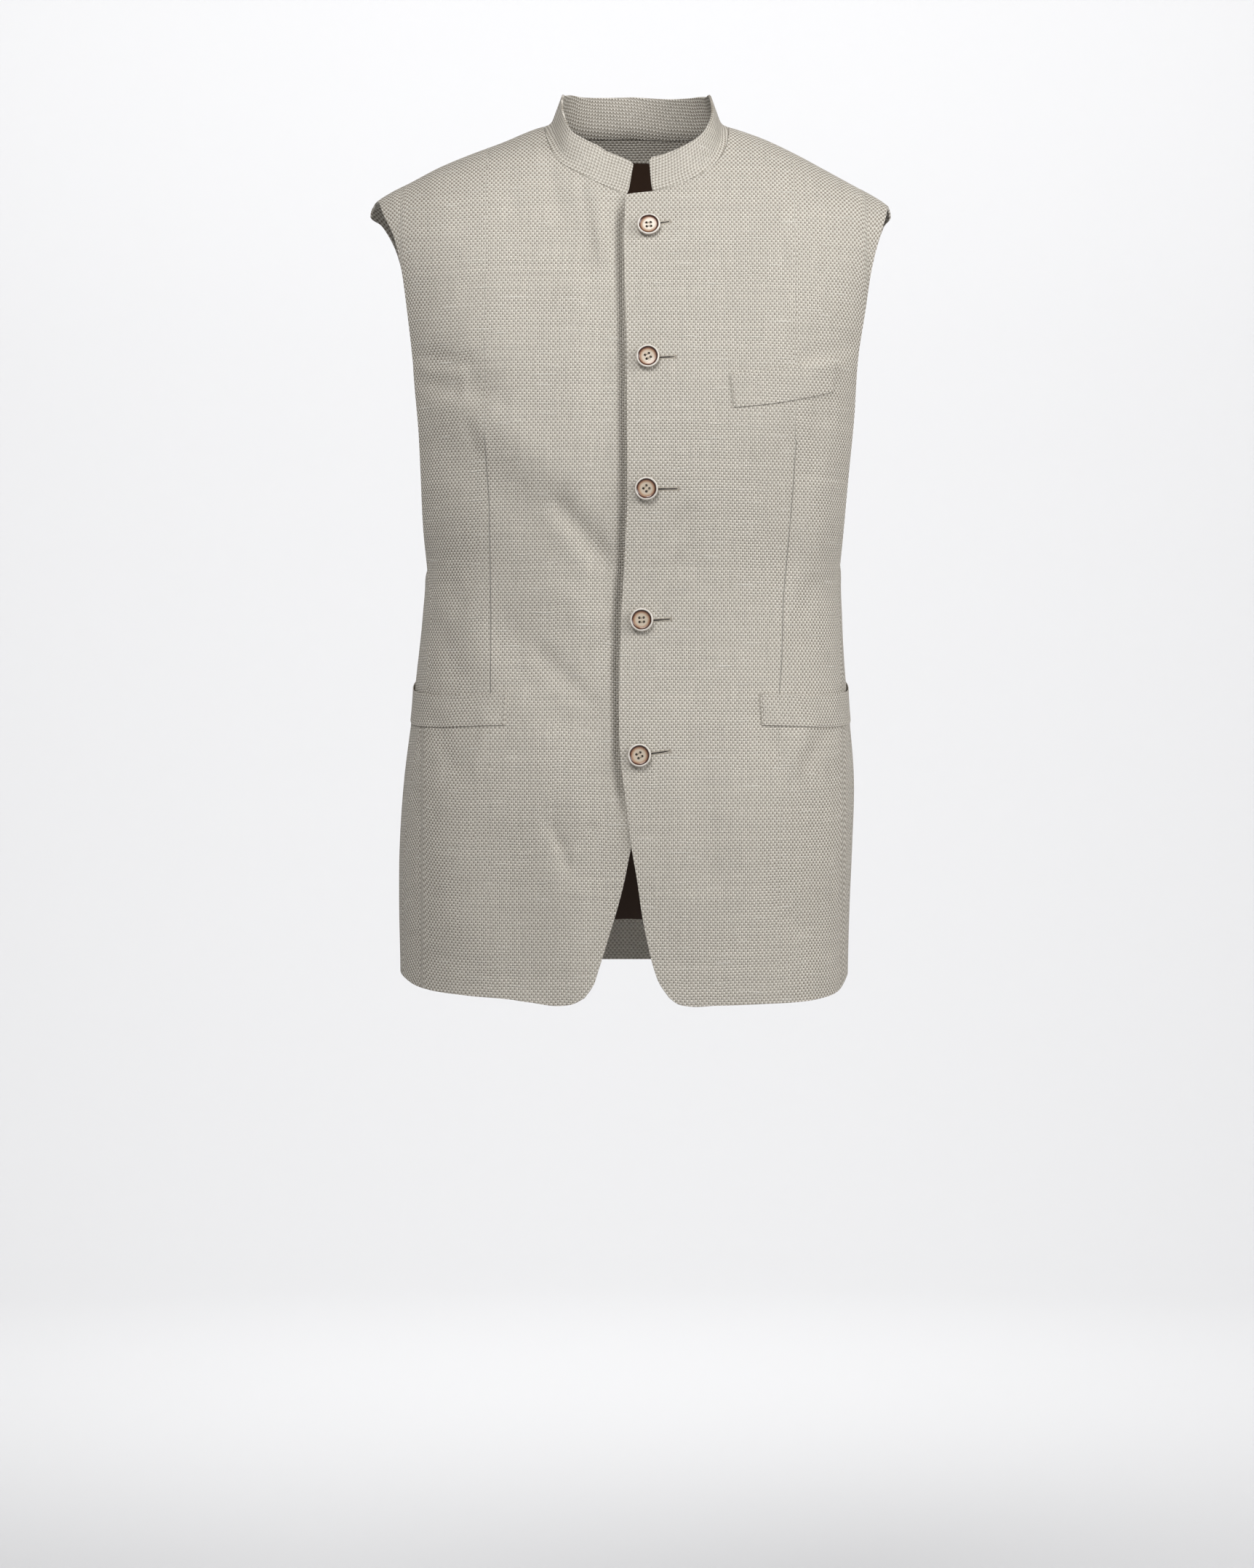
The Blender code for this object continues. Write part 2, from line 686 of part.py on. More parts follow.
def panel(name, place, a, b, group, lift=0.0, wall=WALL):
    """Wall whose outer face is the placed grid moved out by lift; the inner face lies one wall deeper."""
    lift = np.asarray(lift, float)[..., None]
    points, normals = place(a, b), normals_of(place, a, b)
    outer = points + normals * lift
    return cloth_wall(name, outer, outer - normals * wall, group)


def front_point(x, height):
    return over_shoulder(x, distance_for(x, height))


def neck_path(right, left, back):
    """The neckline's points and normals from the right collar end round the nape to the left one."""
    first, last = PLACKET_COLUMNS, PLACKET_COLUMNS + NECK_COLUMNS
    nape = slice(SHOULDER_COLUMNS + 1, SHOULDER_COLUMNS + NAPE_COLUMNS)
    runs = (right[-1, first : last + 1], back[-1, nape], left[-1, first : last + 1][::-1])
    place = np.concatenate(runs)
    points = over_shoulder(place[:, 0], place[:, 1])
    normals = normals_of(over_shoulder, place[:, 0], place[:, 1])
    under = np.zeros(len(place))
    under[: NECK_COLUMNS + 1] = overlap_lift(place[: NECK_COLUMNS + 1, 0])
    return points + normals * under[:, None], normals


def unit(vectors):
    return vectors / np.linalg.norm(vectors, axis=-1, keepdims=True)


def collar(points, normals, group):
    """Stand collar: a band that leaves the neckline in line with the cloth and turns upright."""
    along = unit(np.gradient(points, axis=0))
    leaving = np.cross(along, normals)
    leaving *= np.sign(leaving[:, 2:])
    up = np.array((0.0, 0.0, 1.0))
    inward = unit(np.cross(up, along) * (1, 1, 0))
    inward *= -np.sign((inward * points)[:, :2].sum(axis=1, keepdims=True))
    turn = np.abs(np.arctan2(points[:, 0] - BAND_MIDDLE_X, -points[:, 1])) / math.pi
    lean = np.radians(smooth(turn, BAND["turn"], BAND["lean"]))[:, None]
    height = smooth(turn, BAND["turn"], BAND["height"])[:, None]
    height[0] -= BAND_CORNER_RIGHT
    height[-1] -= BAND_CORNER_LEFT
    upright = inward * np.cos(lean) + up * np.sin(lean)
    upright = unit(upright - BAND_SQUARE * along * (upright * along).sum(axis=1, keepdims=True))
    place = points + leaving * SEAM_GAP
    outer, facing = [place], [normals]
    for low, high in zip(BAND_LEVELS[:-1], BAND_LEVELS[1:]):
        blend = ease((low + high) / 2 / BAND_TURN)
        direction = unit(leaving * (1 - blend) + upright * blend)
        place = place + direction * height * (high - low)
        outward = np.cross(unit(np.gradient(place, axis=0)), direction)
        outward *= np.sign((outward * normals).sum(axis=1, keepdims=True))
        outer.append(place)
        facing.append(unit(outward))
    outer, facing = np.array(outer), np.array(facing)
    return cloth_wall("collar", outer, outer - facing * COLLAR_WALL, group)


def button_mesh(cutters):
    """A turned button with four holes through its dish."""
    mesh = bpy.data.meshes.new("button")
    bm = bmesh.new()
    section = zip(*BUTTON_PROFILE.values())
    profile = [bm.verts.new((radius * MM, 0, height * MM)) for radius, height in section]
    for a, b in zip(profile[:-1], profile[1:]):
        bm.edges.new((a, b))
    bmesh.ops.spin(
        bm,
        geom=bm.verts[:] + bm.edges[:],
        axis=(0, 0, 1),
        cent=(0, 0, 0),
        steps=BUTTON_STEPS,
        angle=math.tau,
        use_merge=True,
    )
    bmesh.ops.remove_doubles(bm, verts=bm.verts, dist=1e-6)
    bmesh.ops.recalc_face_normals(bm, faces=bm.faces)
    bm.to_mesh(mesh)
    bm.free()
    drill = bpy.data.meshes.new("button_drill")
    bm = bmesh.new()
    for corner in range(4):
        angle = math.radians(45 + 90 * corner)
        offset = Vector((math.cos(angle), math.sin(angle), 0)) * BUTTON_HOLE_OFFSET * MM * math.sqrt(2)
        bmesh.ops.create_cone(
            bm,
            cap_ends=True,
            segments=BUTTON_HOLE_SEGMENTS,
            radius1=BUTTON_HOLE_RADIUS * MM,
            radius2=BUTTON_HOLE_RADIUS * MM,
            depth=3 * BUTTON_PROFILE["height"].max() * MM,
            matrix=Matrix.Translation(offset),
        )
    bm.to_mesh(drill)
    bm.free()
    cutter = bpy.data.objects.new("button_drill", drill)
    cutter.hide_render = True
    cutter.display_type = "WIRE"
    cutters.objects.link(cutter)
    blank = bpy.data.objects.new("button_blank", mesh)
    cutters.objects.link(blank)
    cut = blank.modifiers.new("Holes", "BOOLEAN")
    cut.object = cutter
    cut.operation = "DIFFERENCE"
    bpy.context.view_layer.update()
    evaluated = blank.evaluated_get(bpy.context.evaluated_depsgraph_get())
    drilled = bpy.data.meshes.new_from_object(evaluated)
    bpy.data.objects.remove(blank)
    drilled.name = "button"
    drilled.shade_smooth()
    drilled.set_sharp_from_angle(angle=BUTTON_SHARP_ANGLE)
    return drilled


def sew_button(number, x, height, turn, mesh, group):
    """A button seated on the left front, its back facing the cloth."""
    at = np.array([x]), np.array([height])
    point, normal = front_point(*at)[0], normals_of(front_point, *at)[0]
    obj = bpy.data.objects.new(f"button_{number}", mesh.copy())
    obj.location = Vector((point + normal * SHANK_GAP) * MM)
    facing = Vector(normal).to_track_quat("Z", "Y")
    obj.rotation_euler = (facing.to_matrix() @ Matrix.Rotation(math.radians(turn), 3, "Z")).to_euler()
    return finish(obj, BUTTON, BUTTON_ROUGHNESS, group)


def collection(name):
    made = bpy.data.collections.new(name)
    bpy.context.scene.collection.children.link(made)
    return made


def main():
    for obj in list(bpy.data.objects):
        bpy.data.objects.remove(obj)
    jacket = collection("sleeveless nehru jacket")
    cutters = collection("cutters")

    right, left, back = front_grid(-1), front_grid(1), back_grid()
    for name, grid in (("front_right", right), ("front_left", left), ("back", back)):
        x, distance = grid[..., 0], grid[..., 1]
        lift = overlap_lift(x) if name == "front_right" else 0.0
        panel(name, over_shoulder, x, distance, jacket, lift)
    for name, side in (("side_right", -1), ("side_left", 1)):
        angles, heights = side_grid(side)
        panel(name, round_side, angles, heights, jacket)
    collar(*neck_path(right, left, back), jacket)

    up = np.linspace(0, 1, WELT_ROWS)[:, None]
    first, last = CHEST_WELT["x"][[0, -1]]
    taper = CHEST_WELT_TAPER * (1 - up)
    x = first + taper + (last - first - 2 * taper) * np.linspace(0, 1, WELT_COLUMNS)
    bottom, top = (smooth(x, CHEST_WELT["x"], CHEST_WELT[end]) for end in ("bottom", "top"))
    heights = bottom + (top - bottom) * up
    panel("chest_welt", front_point, x, heights, jacket, LAY_GAP + WELT_WALL, WELT_WALL)
    for name, side in (("hip_welt_right", -1), ("hip_welt_left", 1)):
        u = np.linspace(0, 1, WELT_COLUMNS + 1)[None, :]
        bottom, top = (smooth(u, HIP_WELT["along"], HIP_WELT[end]) for end in ("bottom", "top"))
        heights = bottom + (top - bottom) * up
        start = HIP_WELT_FROM[side]
        angles = np.broadcast_to(side * (start + (HIP_WELT_TO - start) * u), heights.shape)
        gape = MOUTH_GAPE * up**2 * ease((u - MOUTH_FROM) / MOUTH_SLOPE) * ease((MOUTH_TO - u) / MOUTH_SLOPE)
        lift = LAY_GAP + WELT_WALL + gape
        panel(name, round_side, angles, heights, jacket, lift, WELT_WALL)

    button = button_mesh(cutters)
    for number, (x, height, turn) in enumerate(zip(*BUTTONS.values()), start=1):
        sew_button(number, x, height, turn, button, jacket)


main()
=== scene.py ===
import math

import bmesh
import bpy
import numpy as np
from mathutils import Matrix, Vector


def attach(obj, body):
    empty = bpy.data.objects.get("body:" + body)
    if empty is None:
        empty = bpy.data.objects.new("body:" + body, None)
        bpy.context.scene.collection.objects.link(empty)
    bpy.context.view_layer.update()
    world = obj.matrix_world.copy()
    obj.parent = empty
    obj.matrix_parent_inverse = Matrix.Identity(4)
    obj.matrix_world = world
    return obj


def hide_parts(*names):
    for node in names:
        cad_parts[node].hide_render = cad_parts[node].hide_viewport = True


# Sleeveless nehru jacket: its cloth, lining, buttons and sewing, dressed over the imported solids.
# Lengths are in millimetres until a mesh is made. The wearer's left is +X, the front faces -Y.
print("loading the packed solids")
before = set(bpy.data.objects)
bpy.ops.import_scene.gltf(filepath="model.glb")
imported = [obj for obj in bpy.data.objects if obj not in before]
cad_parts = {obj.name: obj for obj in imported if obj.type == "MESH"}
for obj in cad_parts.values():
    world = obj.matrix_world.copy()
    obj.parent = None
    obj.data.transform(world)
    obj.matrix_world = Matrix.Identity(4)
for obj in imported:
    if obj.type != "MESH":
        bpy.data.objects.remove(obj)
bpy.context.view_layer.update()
mm = 0.001


def table(columns, *rows):
    return {name: np.array(values, float) for name, values in zip(columns.split(), zip(*rows))}


# Cloth and seams
clothWall = 1.8  # face cloth, fusing and lining together
weltWall = 0.8  # pressed flat, so a thin layer
collarWall = 2.2
seamGap = 0.3
layGap = 0.2  # under a piece that lies on a panel
overlapGap = 0.8  # between the two layers of the buttoned front
overlapFrom = -50.0  # where the under layer starts to dip, and how wide the dip's slope is
overlapSlope = 32.0
placketFlat = 0.85  # share of the folds that the buttoned strip takes out
placketFlatFrom = -32.0
placketFlatTo = 46.0
placketFlatSlope = 20.0

# Section of the worn form, and the round of the cloth over the shoulder
squareness = 2.5  # exponent of the superellipse in plan
ridgeRound = 50.0
seamBehind = 10.0  # shoulder seam, behind the shoulder line, over the cloth
neckLift = 24.0  # rise of the back up to the nape
neckLiftSpan = 115.0
neckLiftRun = 45.0

# Collar band
bandSquare = 0.2  # how far the band's ends turn square to its seam
bandTurn = 0.35  # share of the height in which the band turns upright
bandMiddleX = 3.0  # the band's turn is measured round this line
bandLevels = np.linspace(0, 1, 17)
bandCornerRight = 1.6  # the band's top corners are cut down by this
bandCornerLeft = 2.4

# Columns of the grid round the body and rows up it, before it is made finer
placketColumns = 2
neckColumns = 10
shoulderColumns = 10
napeColumns = 12
sideColumns = 8
rowsBelow = 18  # hem to armpit
rowsAbove = 15  # armpit to shoulder
frontColumns = placketColumns + neckColumns + shoulderColumns
cornerCrowding = 1.3  # draws rows and columns towards the rounded hem corner
settlingRounds = 200  # rounds of evening out a panel's inner grid
settlingWidth = 190.0  # mm per radian while it settles
neckPull = 0.85  # draws rows up to the corners of the neck, and over how many rows and columns
neckPullRows = 3.5
neckPullColumns = 2.5


# Half-widths on the wearer's right and left, and depths in front of and behind the origin, at each height
# Above the armpit the widths are those of the arm root, and the armholes are cut out of them
formTable = table(
    "height right left front back",
    (-750, 198.0, 183.5, 117.0, 121.0),
    (-710, 198.5, 184.0, 118.5, 122.5),
    (-658, 199.5, 185.5, 121.0, 124.0),
    (-612, 199.0, 187.5, 123.0, 124.0),
    (-553, 195.0, 189.0, 123.0, 119.0),
    (-501, 188.5, 185.0, 119.0, 110.0),
    (-464, 184.5, 181.5, 115.0, 104.5),
    (-417, 179.5, 179.0, 112.5, 103.0),
    (-377, 177.5, 178.5, 114.0, 106.0),
    (-346, 183.0, 184.0, 117.5, 110.0),
    (-314, 188.0, 188.0, 121.0, 114.0),
    (-268, 193.0, 194.0, 124.5, 119.0),
    (-223, 197.0, 199.0, 125.5, 122.0),
    (-180, 203.0, 206.0, 125.5, 122.0),
    (-144, 210.0, 213.0, 125.0, 121.0),
    (-110, 222.0, 226.0, 124.5, 120.0),
    (-67, 245.0, 245.0, 124.0, 118.0),
)

# Height of the shoulder line on each side, out from the neck
shoulderTable = table(
    "across right left",
    (0, 14.0, 14.0),
    (30, 12.0, 12.5),
    (55, 8.0, 10.0),
    (80, 2.5, 3.8),
    (112, -10.5, -7.2),
    (140, -21.0, -20.5),
    (165, -31.5, -34.0),
    (190, -44.5, -47.5),
    (206, -52.5, -56.0),
    (218, -60.0, -64.0),
    (228, -69.0, -74.0),
)

# Drop below the shoulder line within which the cloth reaches its full depth
fallTable = table(
    "across front back",
    (0, 370, 245),
    (40, 350, 255),
    (80, 320, 280),
    (120, 245, 240),
    (165, 190, 190),
    (200, 160, 160),
    (228, 138, 138),
)

# Where the front-to-side seam lies, as a share of the half-width
frontSeamTable = table(
    "height right left",
    (-750, 0.982, 0.988),
    (-680, 0.978, 0.986),
    (-550, 0.955, 0.984),
    (-460, 0.935, 0.984),
    (-402, 0.958, 0.984),
    (-377, 0.982, 0.984),
)
backSeamTable = table(
    "height right left",
    (-750, 0.95, 0.95),
    (-460, 0.94, 0.94),
    (-402, 0.95, 0.95),
    (-377, 0.97, 0.97),
)

# Heights of the side panels' lower edge at their seams and middle, and of the armhole above them
sideEndsTable = table(
    "wearerLeft hemFront hemMiddle hemBack armFront armMiddle armBack",
    (0, -721.5, -716.0, -714.0, -377.0, -388.0, -374.0),
    (1, -723.0, -716.0, -714.0, -373.0, -388.0, -374.0),
)

# Front edges from the hem corner to the neck: the visible one closes left over right
rightEdgeTable = table(
    "x height",
    (-40.0, -736.0),
    (-33.3, -726.7),
    (-28.2, -712.3),
    (-21.0, -689.0),
    (-13.8, -665.5),
    (-7.8, -642.7),
    (-1.2, -611.0),
    (10.0, -568.0),
    (19.0, -532.0),
    (25.0, -495.0),
    (28.0, -445.0),
    (28.0, -375.0),
    (27.0, -220.0),
    (26.0, -67.0),
)
leftEdgeTable = table(
    "x height",
    (30.0, -735.5),
    (22.2, -724.3),
    (17.4, -711.7),
    (12.6, -692.5),
    (7.8, -668.5),
    (3.6, -639.0),
    (-1.2, -611.0),
    (-6.0, -572.0),
    (-10.0, -540.0),
    (-11.0, -468.0),
    (-9.6, -420.0),
    (-7.0, -375.0),
    (-4.8, -328.0),
    (-4.8, -252.0),
    (-5.6, -175.0),
    (-7.2, -95.0),
    (-6.0, -65.0),
)

# Hems from the rounded corner to the side seam
rightHemTable = table(
    "x height",
    (-40.0, -736.0),
    (-48.6, -740.5),
    (-61.8, -742.4),
    (-86.5, -739.5),
    (-105.5, -737.0),
    (-138.0, -734.8),
    (-171.3, -731.0),
    (-184.2, -727.5),
)
leftHemTable = table(
    "x height",
    (30.0, -735.5),
    (36.6, -740.5),
    (48.0, -742.9),
    (70.3, -742.2),
    (102.8, -741.5),
    (135.6, -740.6),
    (156.0, -738.5),
    (174.8, -732.0),
)

# Armhole edges of the fronts and the back, from the armpit to the shoulder
armholeTable = table(
    "height frontRight frontLeft backRight backLeft",
    (-346, -177.0, 178.3, -179.0, 180.5),
    (-297, -178.8, 182.5, -183.0, 185.5),
    (-251, -181.0, 186.8, -186.0, 190.0),
    (-199, -185.5, 190.0, -190.5, 194.0),
    (-160, -190.0, 196.1, -192.5, 198.0),
    (-122, -195.5, 202.1, -198.5, 204.0),
    (-96, -202.0, 209.0, -205.5, 211.0),
    (-78, -210.5, 214.8, -215.5, 217.0),
)
shoulderTipTable = table(
    "wearerLeft frontX backX seamX",
    (0, -221.0, -225.5, -224.0),
    (1, 219.5, 222.0, 221.0),
)

# Front necklines from the placket to the shoulder, and the nape as distance behind the shoulder line
rightNeckTable = table(
    "x height",
    (-6.0, -64.5),
    (-24.9, -55.3),
    (-45.7, -45.4),
    (-62.6, -33.8),
    (-71.7, -15.7),
    (-75.0, -3.0),
)
leftNeckTable = table(
    "x height",
    (17.0, -62.0),
    (31.1, -58.6),
    (43.3, -53.9),
    (58.1, -46.0),
    (71.6, -34.0),
    (79.0, -20.0),
    (81.5, -7.0),
)
napeTable = table("x behind", (-71, 28), (-58, 46), (-32, 62), (3, 68), (38, 62), (64, 46), (77, 28))
neckCornerX = {-1: -76.0, 1: 81.5}

# Soft folds: a line from one point to another, how far it spreads and how deep it lies (a ridge is negative)
frontFoldTable = table(
    "x0 height0 x1 height1 spread depth",
    (-64, -52, -36, -135, 14, 2.6),
    (-38, -62, -20, -155, 13, -1.6),
    (-172, -205, -122, -236, 17, 3.2),
    (-176, -262, -70, -345, 22, 2.8),
    (-150, -232, -50, -312, 18, -1.6),
    (-62, -322, -16, -384, 14, 2.6),
    (-76, -384, -24, -434, 15, -1.6),
    (-112, -418, -40, -520, 22, 3.0),
    (-150, -395, -120, -470, 18, -2.0),
    (-64, -580, -42, -640, 14, 1.8),
    (-158, -560, -150, -690, 24, -2.0),
    (-105, -600, -96, -735, 26, 2.4),
    (184, -178, 132, -196, 16, 1.6),
    (132, -262, 128, -420, 18, 2.6),
    (158, -300, 152, -440, 17, -2.0),
    (164, -386, 146, -450, 15, 2.0),
    (34, -340, 10, -390, 14, 1.6),
    (62, -402, 24, -444, 15, -1.6),
    (150, -540, 156, -700, 22, 2.6),
    (96, -570, 88, -735, 26, -2.0),
    (52, -520, 62, -640, 18, 1.6),
)
backFoldTable = table(
    "x0 height0 x1 height1 spread depth",
    (-176, -215, -118, -285, 15, 2.8),
    (178, -215, 122, -300, 15, 2.8),
    (-140, -330, -70, -430, 20, 3.0),
    (142, -330, 78, -440, 20, 2.8),
    (-112, -420, -30, -462, 13, 3.2),
    (104, -428, 20, -452, 13, 2.8),
    (-60, -60, 50, -66, 9, 2.0),
    (-84, -520, -92, -720, 24, 2.4),
    (8, -500, 2, -715, 26, -2.2),
    (92, -520, 98, -720, 24, 2.6),
)

# Finer creases over them, as seen in the photo: pulls at the collar, drags at the armholes, darts and pockets
frontCreaseTable = table(
    "x0 height0 x1 height1 spread depth",
    (-107, -36, -97, -92, 7, 1.6),
    (-72, -34, -60, -92, 6.5, 2.0),
    (-43, -50, -34, -114, 5, 1.8),
    (-33, -54, -26, -124, 6, -2.0),
    (-180, -201, -132, -209, 5.5, 2.0),
    (-178, -212, -138, -219, 6, -1.6),
    (-178, -221, -143, -231, 6.5, 2.6),
    (-138, -229, -104, -243, 9, 1.4),
    (-64, -324, -12, -384, 8.0, 2.1),
    (-74, -334, -30, -388, 10, -0.8),
    (-139, -257, -129, -286, 4.5, 1.2),
    (-127, -258, -122, -284, 4.5, -1.1),
    (-82, -443, -32, -494, 7.5, 1.4),
    (-94, -450, -47, -502, 9, -0.8),
    (-70, -590, -59, -609, 4.5, 1.6),
    (-60, -606, -53, -631, 4.5, 1.6),
    (-32, -594, -44, -612, 5, 1.1),
    (-156, -384, -143, -416, 10, 2.0),
    (-163, -426, -144, -470, 8, 1.5),
    (-168, -500, -149, -550, 8, 1.8),
    (-120, -500, -132, -552, 9, -1.4),
    (188, -190, 138, -205, 6.5, 1.9),
    (186, -203, 150, -213, 6, -1.2),
    (157, -234, 150, -308, 9, 1.5),
    (151, -388, 144, -418, 7.5, 2.0),
    (137, -380, 128, -430, 7, -1.1),
    (101, -493, 127, -550, 8, 1.8),
    (166, -510, 143, -544, 7, 1.9),
    (150, -506, 132, -548, 7, -1.2),
    (130, -664, 141, -684, 7, 1.2),
    (2, -452, 40, -384, 8, -1.8),
    (38, -370, 9, -414, 6.5, 1.8),
    (50, -330, 22, -364, 7, 1.2),
    (64, -455, 30, -490, 8, 1.4),
)
backCreaseTable = table(
    "x0 height0 x1 height1 spread depth",
    (-184, -196, -140, -208, 6, 2.0),
    (-180, -210, -146, -222, 6, -1.5),
    (182, -192, 138, -206, 6, 2.0),
    (180, -214, 150, -226, 6.5, 1.8),
    (-52, -44, -40, -110, 7, 1.6),
    (44, -40, 34, -112, 7, 1.8),
    (-122, -372, -62, -408, 8, 2.2),
    (118, -380, 66, -410, 8, -1.8),
    (-70, -446, -4, -462, 7, 2.3),
    (60, -462, 12, -470, 7, 1.9),
    (-156, -430, -140, -490, 9, 1.8),
    (158, -426, 142, -492, 9, 1.8),
    (-40, -600, -34, -660, 8, 1.4),
    (52, -616, 58, -690, 8, 1.5),
)

# Collar band, by its turn from the front (0) to the nape (1): lean from level and height of the band
bandTable = table(
    "turn lean height",
    (0, 64, 33.5),
    (0.15, 71, 32.0),
    (0.3, 79, 29.5),
    (0.45, 70, 32.5),
    (0.6, 71, 35.0),
    (1, 80, 36.0),
)

# Welts: the chest one slopes up to the armhole, the hip ones run round on to the side
chestWeltTable = table(
    "x top bottom",
    (80.5, -219.8, -247.5),
    (112, -215.0, -244.0),
    (144, -209.5, -237.5),
    (170, -201.0, -230.0),
)
hipWeltTable = table(
    "along top bottom",
    (0, -483.5, -510.0),
    (0.5, -483.5, -510.5),
    (0.75, -478.5, -507.0),
    (1, -466.0, -496.0),
)
chestWeltTaper = 3.0  # its lower edge is shorter by this at each end
hipWeltFrom = {-1: math.radians(29), 1: math.radians(30)}
hipWeltTo = math.radians(98)
mouthGape = 1.6  # how far a hip welt's top stands off near the side, and between which shares of its length
mouthFrom = 0.3
mouthTo = 0.98
mouthSlope = 0.3

# Button centres, from the collar down, and how far each is turned
buttonTable = table(
    "x height turn",
    (13.4, -93.0, 5),
    (12.5, -205.2, 25),
    (11.2, -314.4, 45),
    (7.4, -422.9, 3),
    (5.4, -535.2, 28),
)

# Value of the smooth curve through the knots
def smooth(at, knots, values):
    slopes = np.gradient(values, knots)
    at = np.clip(at, knots[0], knots[-1])
    i = np.clip(np.searchsorted(knots, at) - 1, 0, len(knots) - 2)
    width = knots[i + 1] - knots[i]
    t = (at - knots[i]) / width
    start = (1 + 2 * t) * (1 - t) ** 2 * values[i] + t * (1 - t) ** 2 * width * slopes[i]
    end = t * t * (3 - 2 * t) * values[i + 1] + t * t * (t - 1) * width * slopes[i + 1]
    return start + end


def ease(t):
    t = np.clip(t, 0, 1)
    return t * t * (3 - 2 * t)


# A column pair named right and left, read on the side where x lies
def bySide(x, rows, knot, at):
    right, left = (smooth(at, rows[knot], rows[side]) for side in ("right", "left"))
    return np.where(x < 0, right, left)


def halfWidth(x, height):
    return bySide(x, formTable, "height", height)


def shoulderLine(x):
    return bySide(x, shoulderTable, "across", np.abs(x))


def liftAt(x):
    return neckLift * np.clip(1 - (x / neckLiftSpan) ** 2, 0, 1) ** 2


# Sum of the soft troughs and ridges at a place on the front or the back
def folds(x, height, rows):
    total = np.zeros(np.broadcast(x, height).shape)
    for x0, z0, x1, z1, spread, depth in zip(*rows.values()):
        length = math.hypot(x1 - x0, z1 - z0)
        along = ((x - x0) * (x1 - x0) + (height - z0) * (z1 - z0)) / length**2
        off = ((x - x0) * (z1 - z0) - (height - z0) * (x1 - x0)) / length
        taper = ease(along / 0.3 + 0.5) * ease((1 - along) / 0.3 + 0.5)
        total += depth * taper * np.exp(-((off / spread) ** 2))
    return total


# Faint waver of cloth that hangs free
def ripple(x, height):
    slow = np.sin(x / 13.7 + height / 52 + 1.1) + np.sin(x / 21.3 - height / 23.1)
    return 0.2 * slow + 0.13 * np.sin(x / 7.9 + height / 90 + 0.4) + 0.11 * np.sin(height / 11.3 + x / 37)


# Share of a fold that stays at x: the buttoned strip lies flatter
def foldShareAt(x):
    rising, falling = x - placketFlatFrom, placketFlatTo - x
    return 1 - placketFlat * ease(rising / placketFlatSlope) * ease(falling / placketFlatSlope)


# A column pair named front and back, read at the front or the back
def byEnd(back, at, rows, knot):
    behind, before = (smooth(at, rows[knot], rows[end]) for end in ("back", "front"))
    return np.where(back, behind, before)


# Y of the cloth: the form's depth, less by reach towards the side and by rise towards the shoulder
def depthAt(x, height, reach, rise, back):
    full = byEnd(back, height, formTable, "height")
    share = foldShareAt(x)
    crease = np.where(back, folds(x, height, backFoldTable), share * folds(x, height, frontFoldTable))
    fine = np.where(back, folds(x, height, backCreaseTable), np.sqrt(share) * folds(x, height, frontCreaseTable))
    crease = crease + fine + ripple(x, height) * share
    depth = full * reach * rise - crease * rise * ease(1.6 * reach)
    return np.where(back, depth, -depth)


# Point of the cloth at x, a distance in front of the shoulder line (behind it where negative)
def overShoulder(x, distance):
    back = distance < 0
    drop = np.sqrt(distance**2 + ridgeRound**2) - ridgeRound
    height = shoulderLine(x) + liftAt(x) * ease(-distance / neckLiftRun) - drop
    fall = byEnd(back, np.abs(x), fallTable, "across")
    rise = np.sqrt(1 - (1 - np.clip(drop / fall, 0, 1)) ** 2)
    share = np.clip(np.abs(x) / halfWidth(x, height), 0, 1)
    reach = (1 - share**squareness) ** (1 / squareness)
    return np.stack(np.broadcast_arrays(x, depthAt(x, height, reach, rise, back), height), axis=-1)


# Point of the cloth below the armpit, by its angle from the front, positive on the wearer's left
def roundSide(angle, height):
    across = np.sign(angle) * np.abs(np.sin(angle)) ** (2 / squareness)
    x = across * halfWidth(angle, height)
    reach = np.abs(np.cos(angle)) ** (2 / squareness)
    y = depthAt(x, height, reach, 1.0, np.cos(angle) < 0)
    return np.stack(np.broadcast_arrays(x, y, height), axis=-1)


# Distance from the shoulder line at which the cloth at x has this height
def distanceFor(x, height, back=False):
    drop = shoulderLine(x) + (liftAt(x) if back else 0) - height
    distance = np.sqrt(drop * (drop + 2 * ridgeRound))
    return -distance if back else distance


# Outward normals of a surface, from small steps along its two parameters
def normalsOf(place, a, b):
    step = 1e-3
    alongA = place(a + step, b) - place(a - step, b)
    alongB = place(a, b + step) - place(a, b - step)
    normal = np.cross(alongA, alongB)
    normal /= np.linalg.norm(normal, axis=-1, keepdims=True)
    inside = np.array((0, 0, formTable["height"].mean()))
    outward = ((place(a, b) - inside) * normal).sum(axis=-1, keepdims=True)
    return normal * np.sign(outward)


# Parameter step that moves half a seam gap over the surface
def halfGap(place, a, b, alongB=False):
    step = 1e-3
    ahead = place(a, b + step) if alongB else place(a + step, b)
    return seamGap / 2 * step / np.linalg.norm(ahead - place(a, b), axis=-1)


# Parameters at the given shares of the length of a smooth curve laid over the cloth
def resample(x, distance, shares):
    chord = np.concatenate([[0], np.cumsum(np.hypot(np.diff(x), np.diff(distance)))])
    fine = np.linspace(0, chord[-1], 40 * len(x))
    curve = smooth(fine, chord, x), smooth(fine, chord, distance)
    steps = np.linalg.norm(np.diff(overShoulder(*curve), axis=0), axis=-1)
    length = np.concatenate([[0], np.cumsum(steps)])
    at = np.asarray(shares) * length[-1]
    return np.stack([np.interp(at, length, curve[0]), np.interp(at, length, curve[1])], axis=-1)


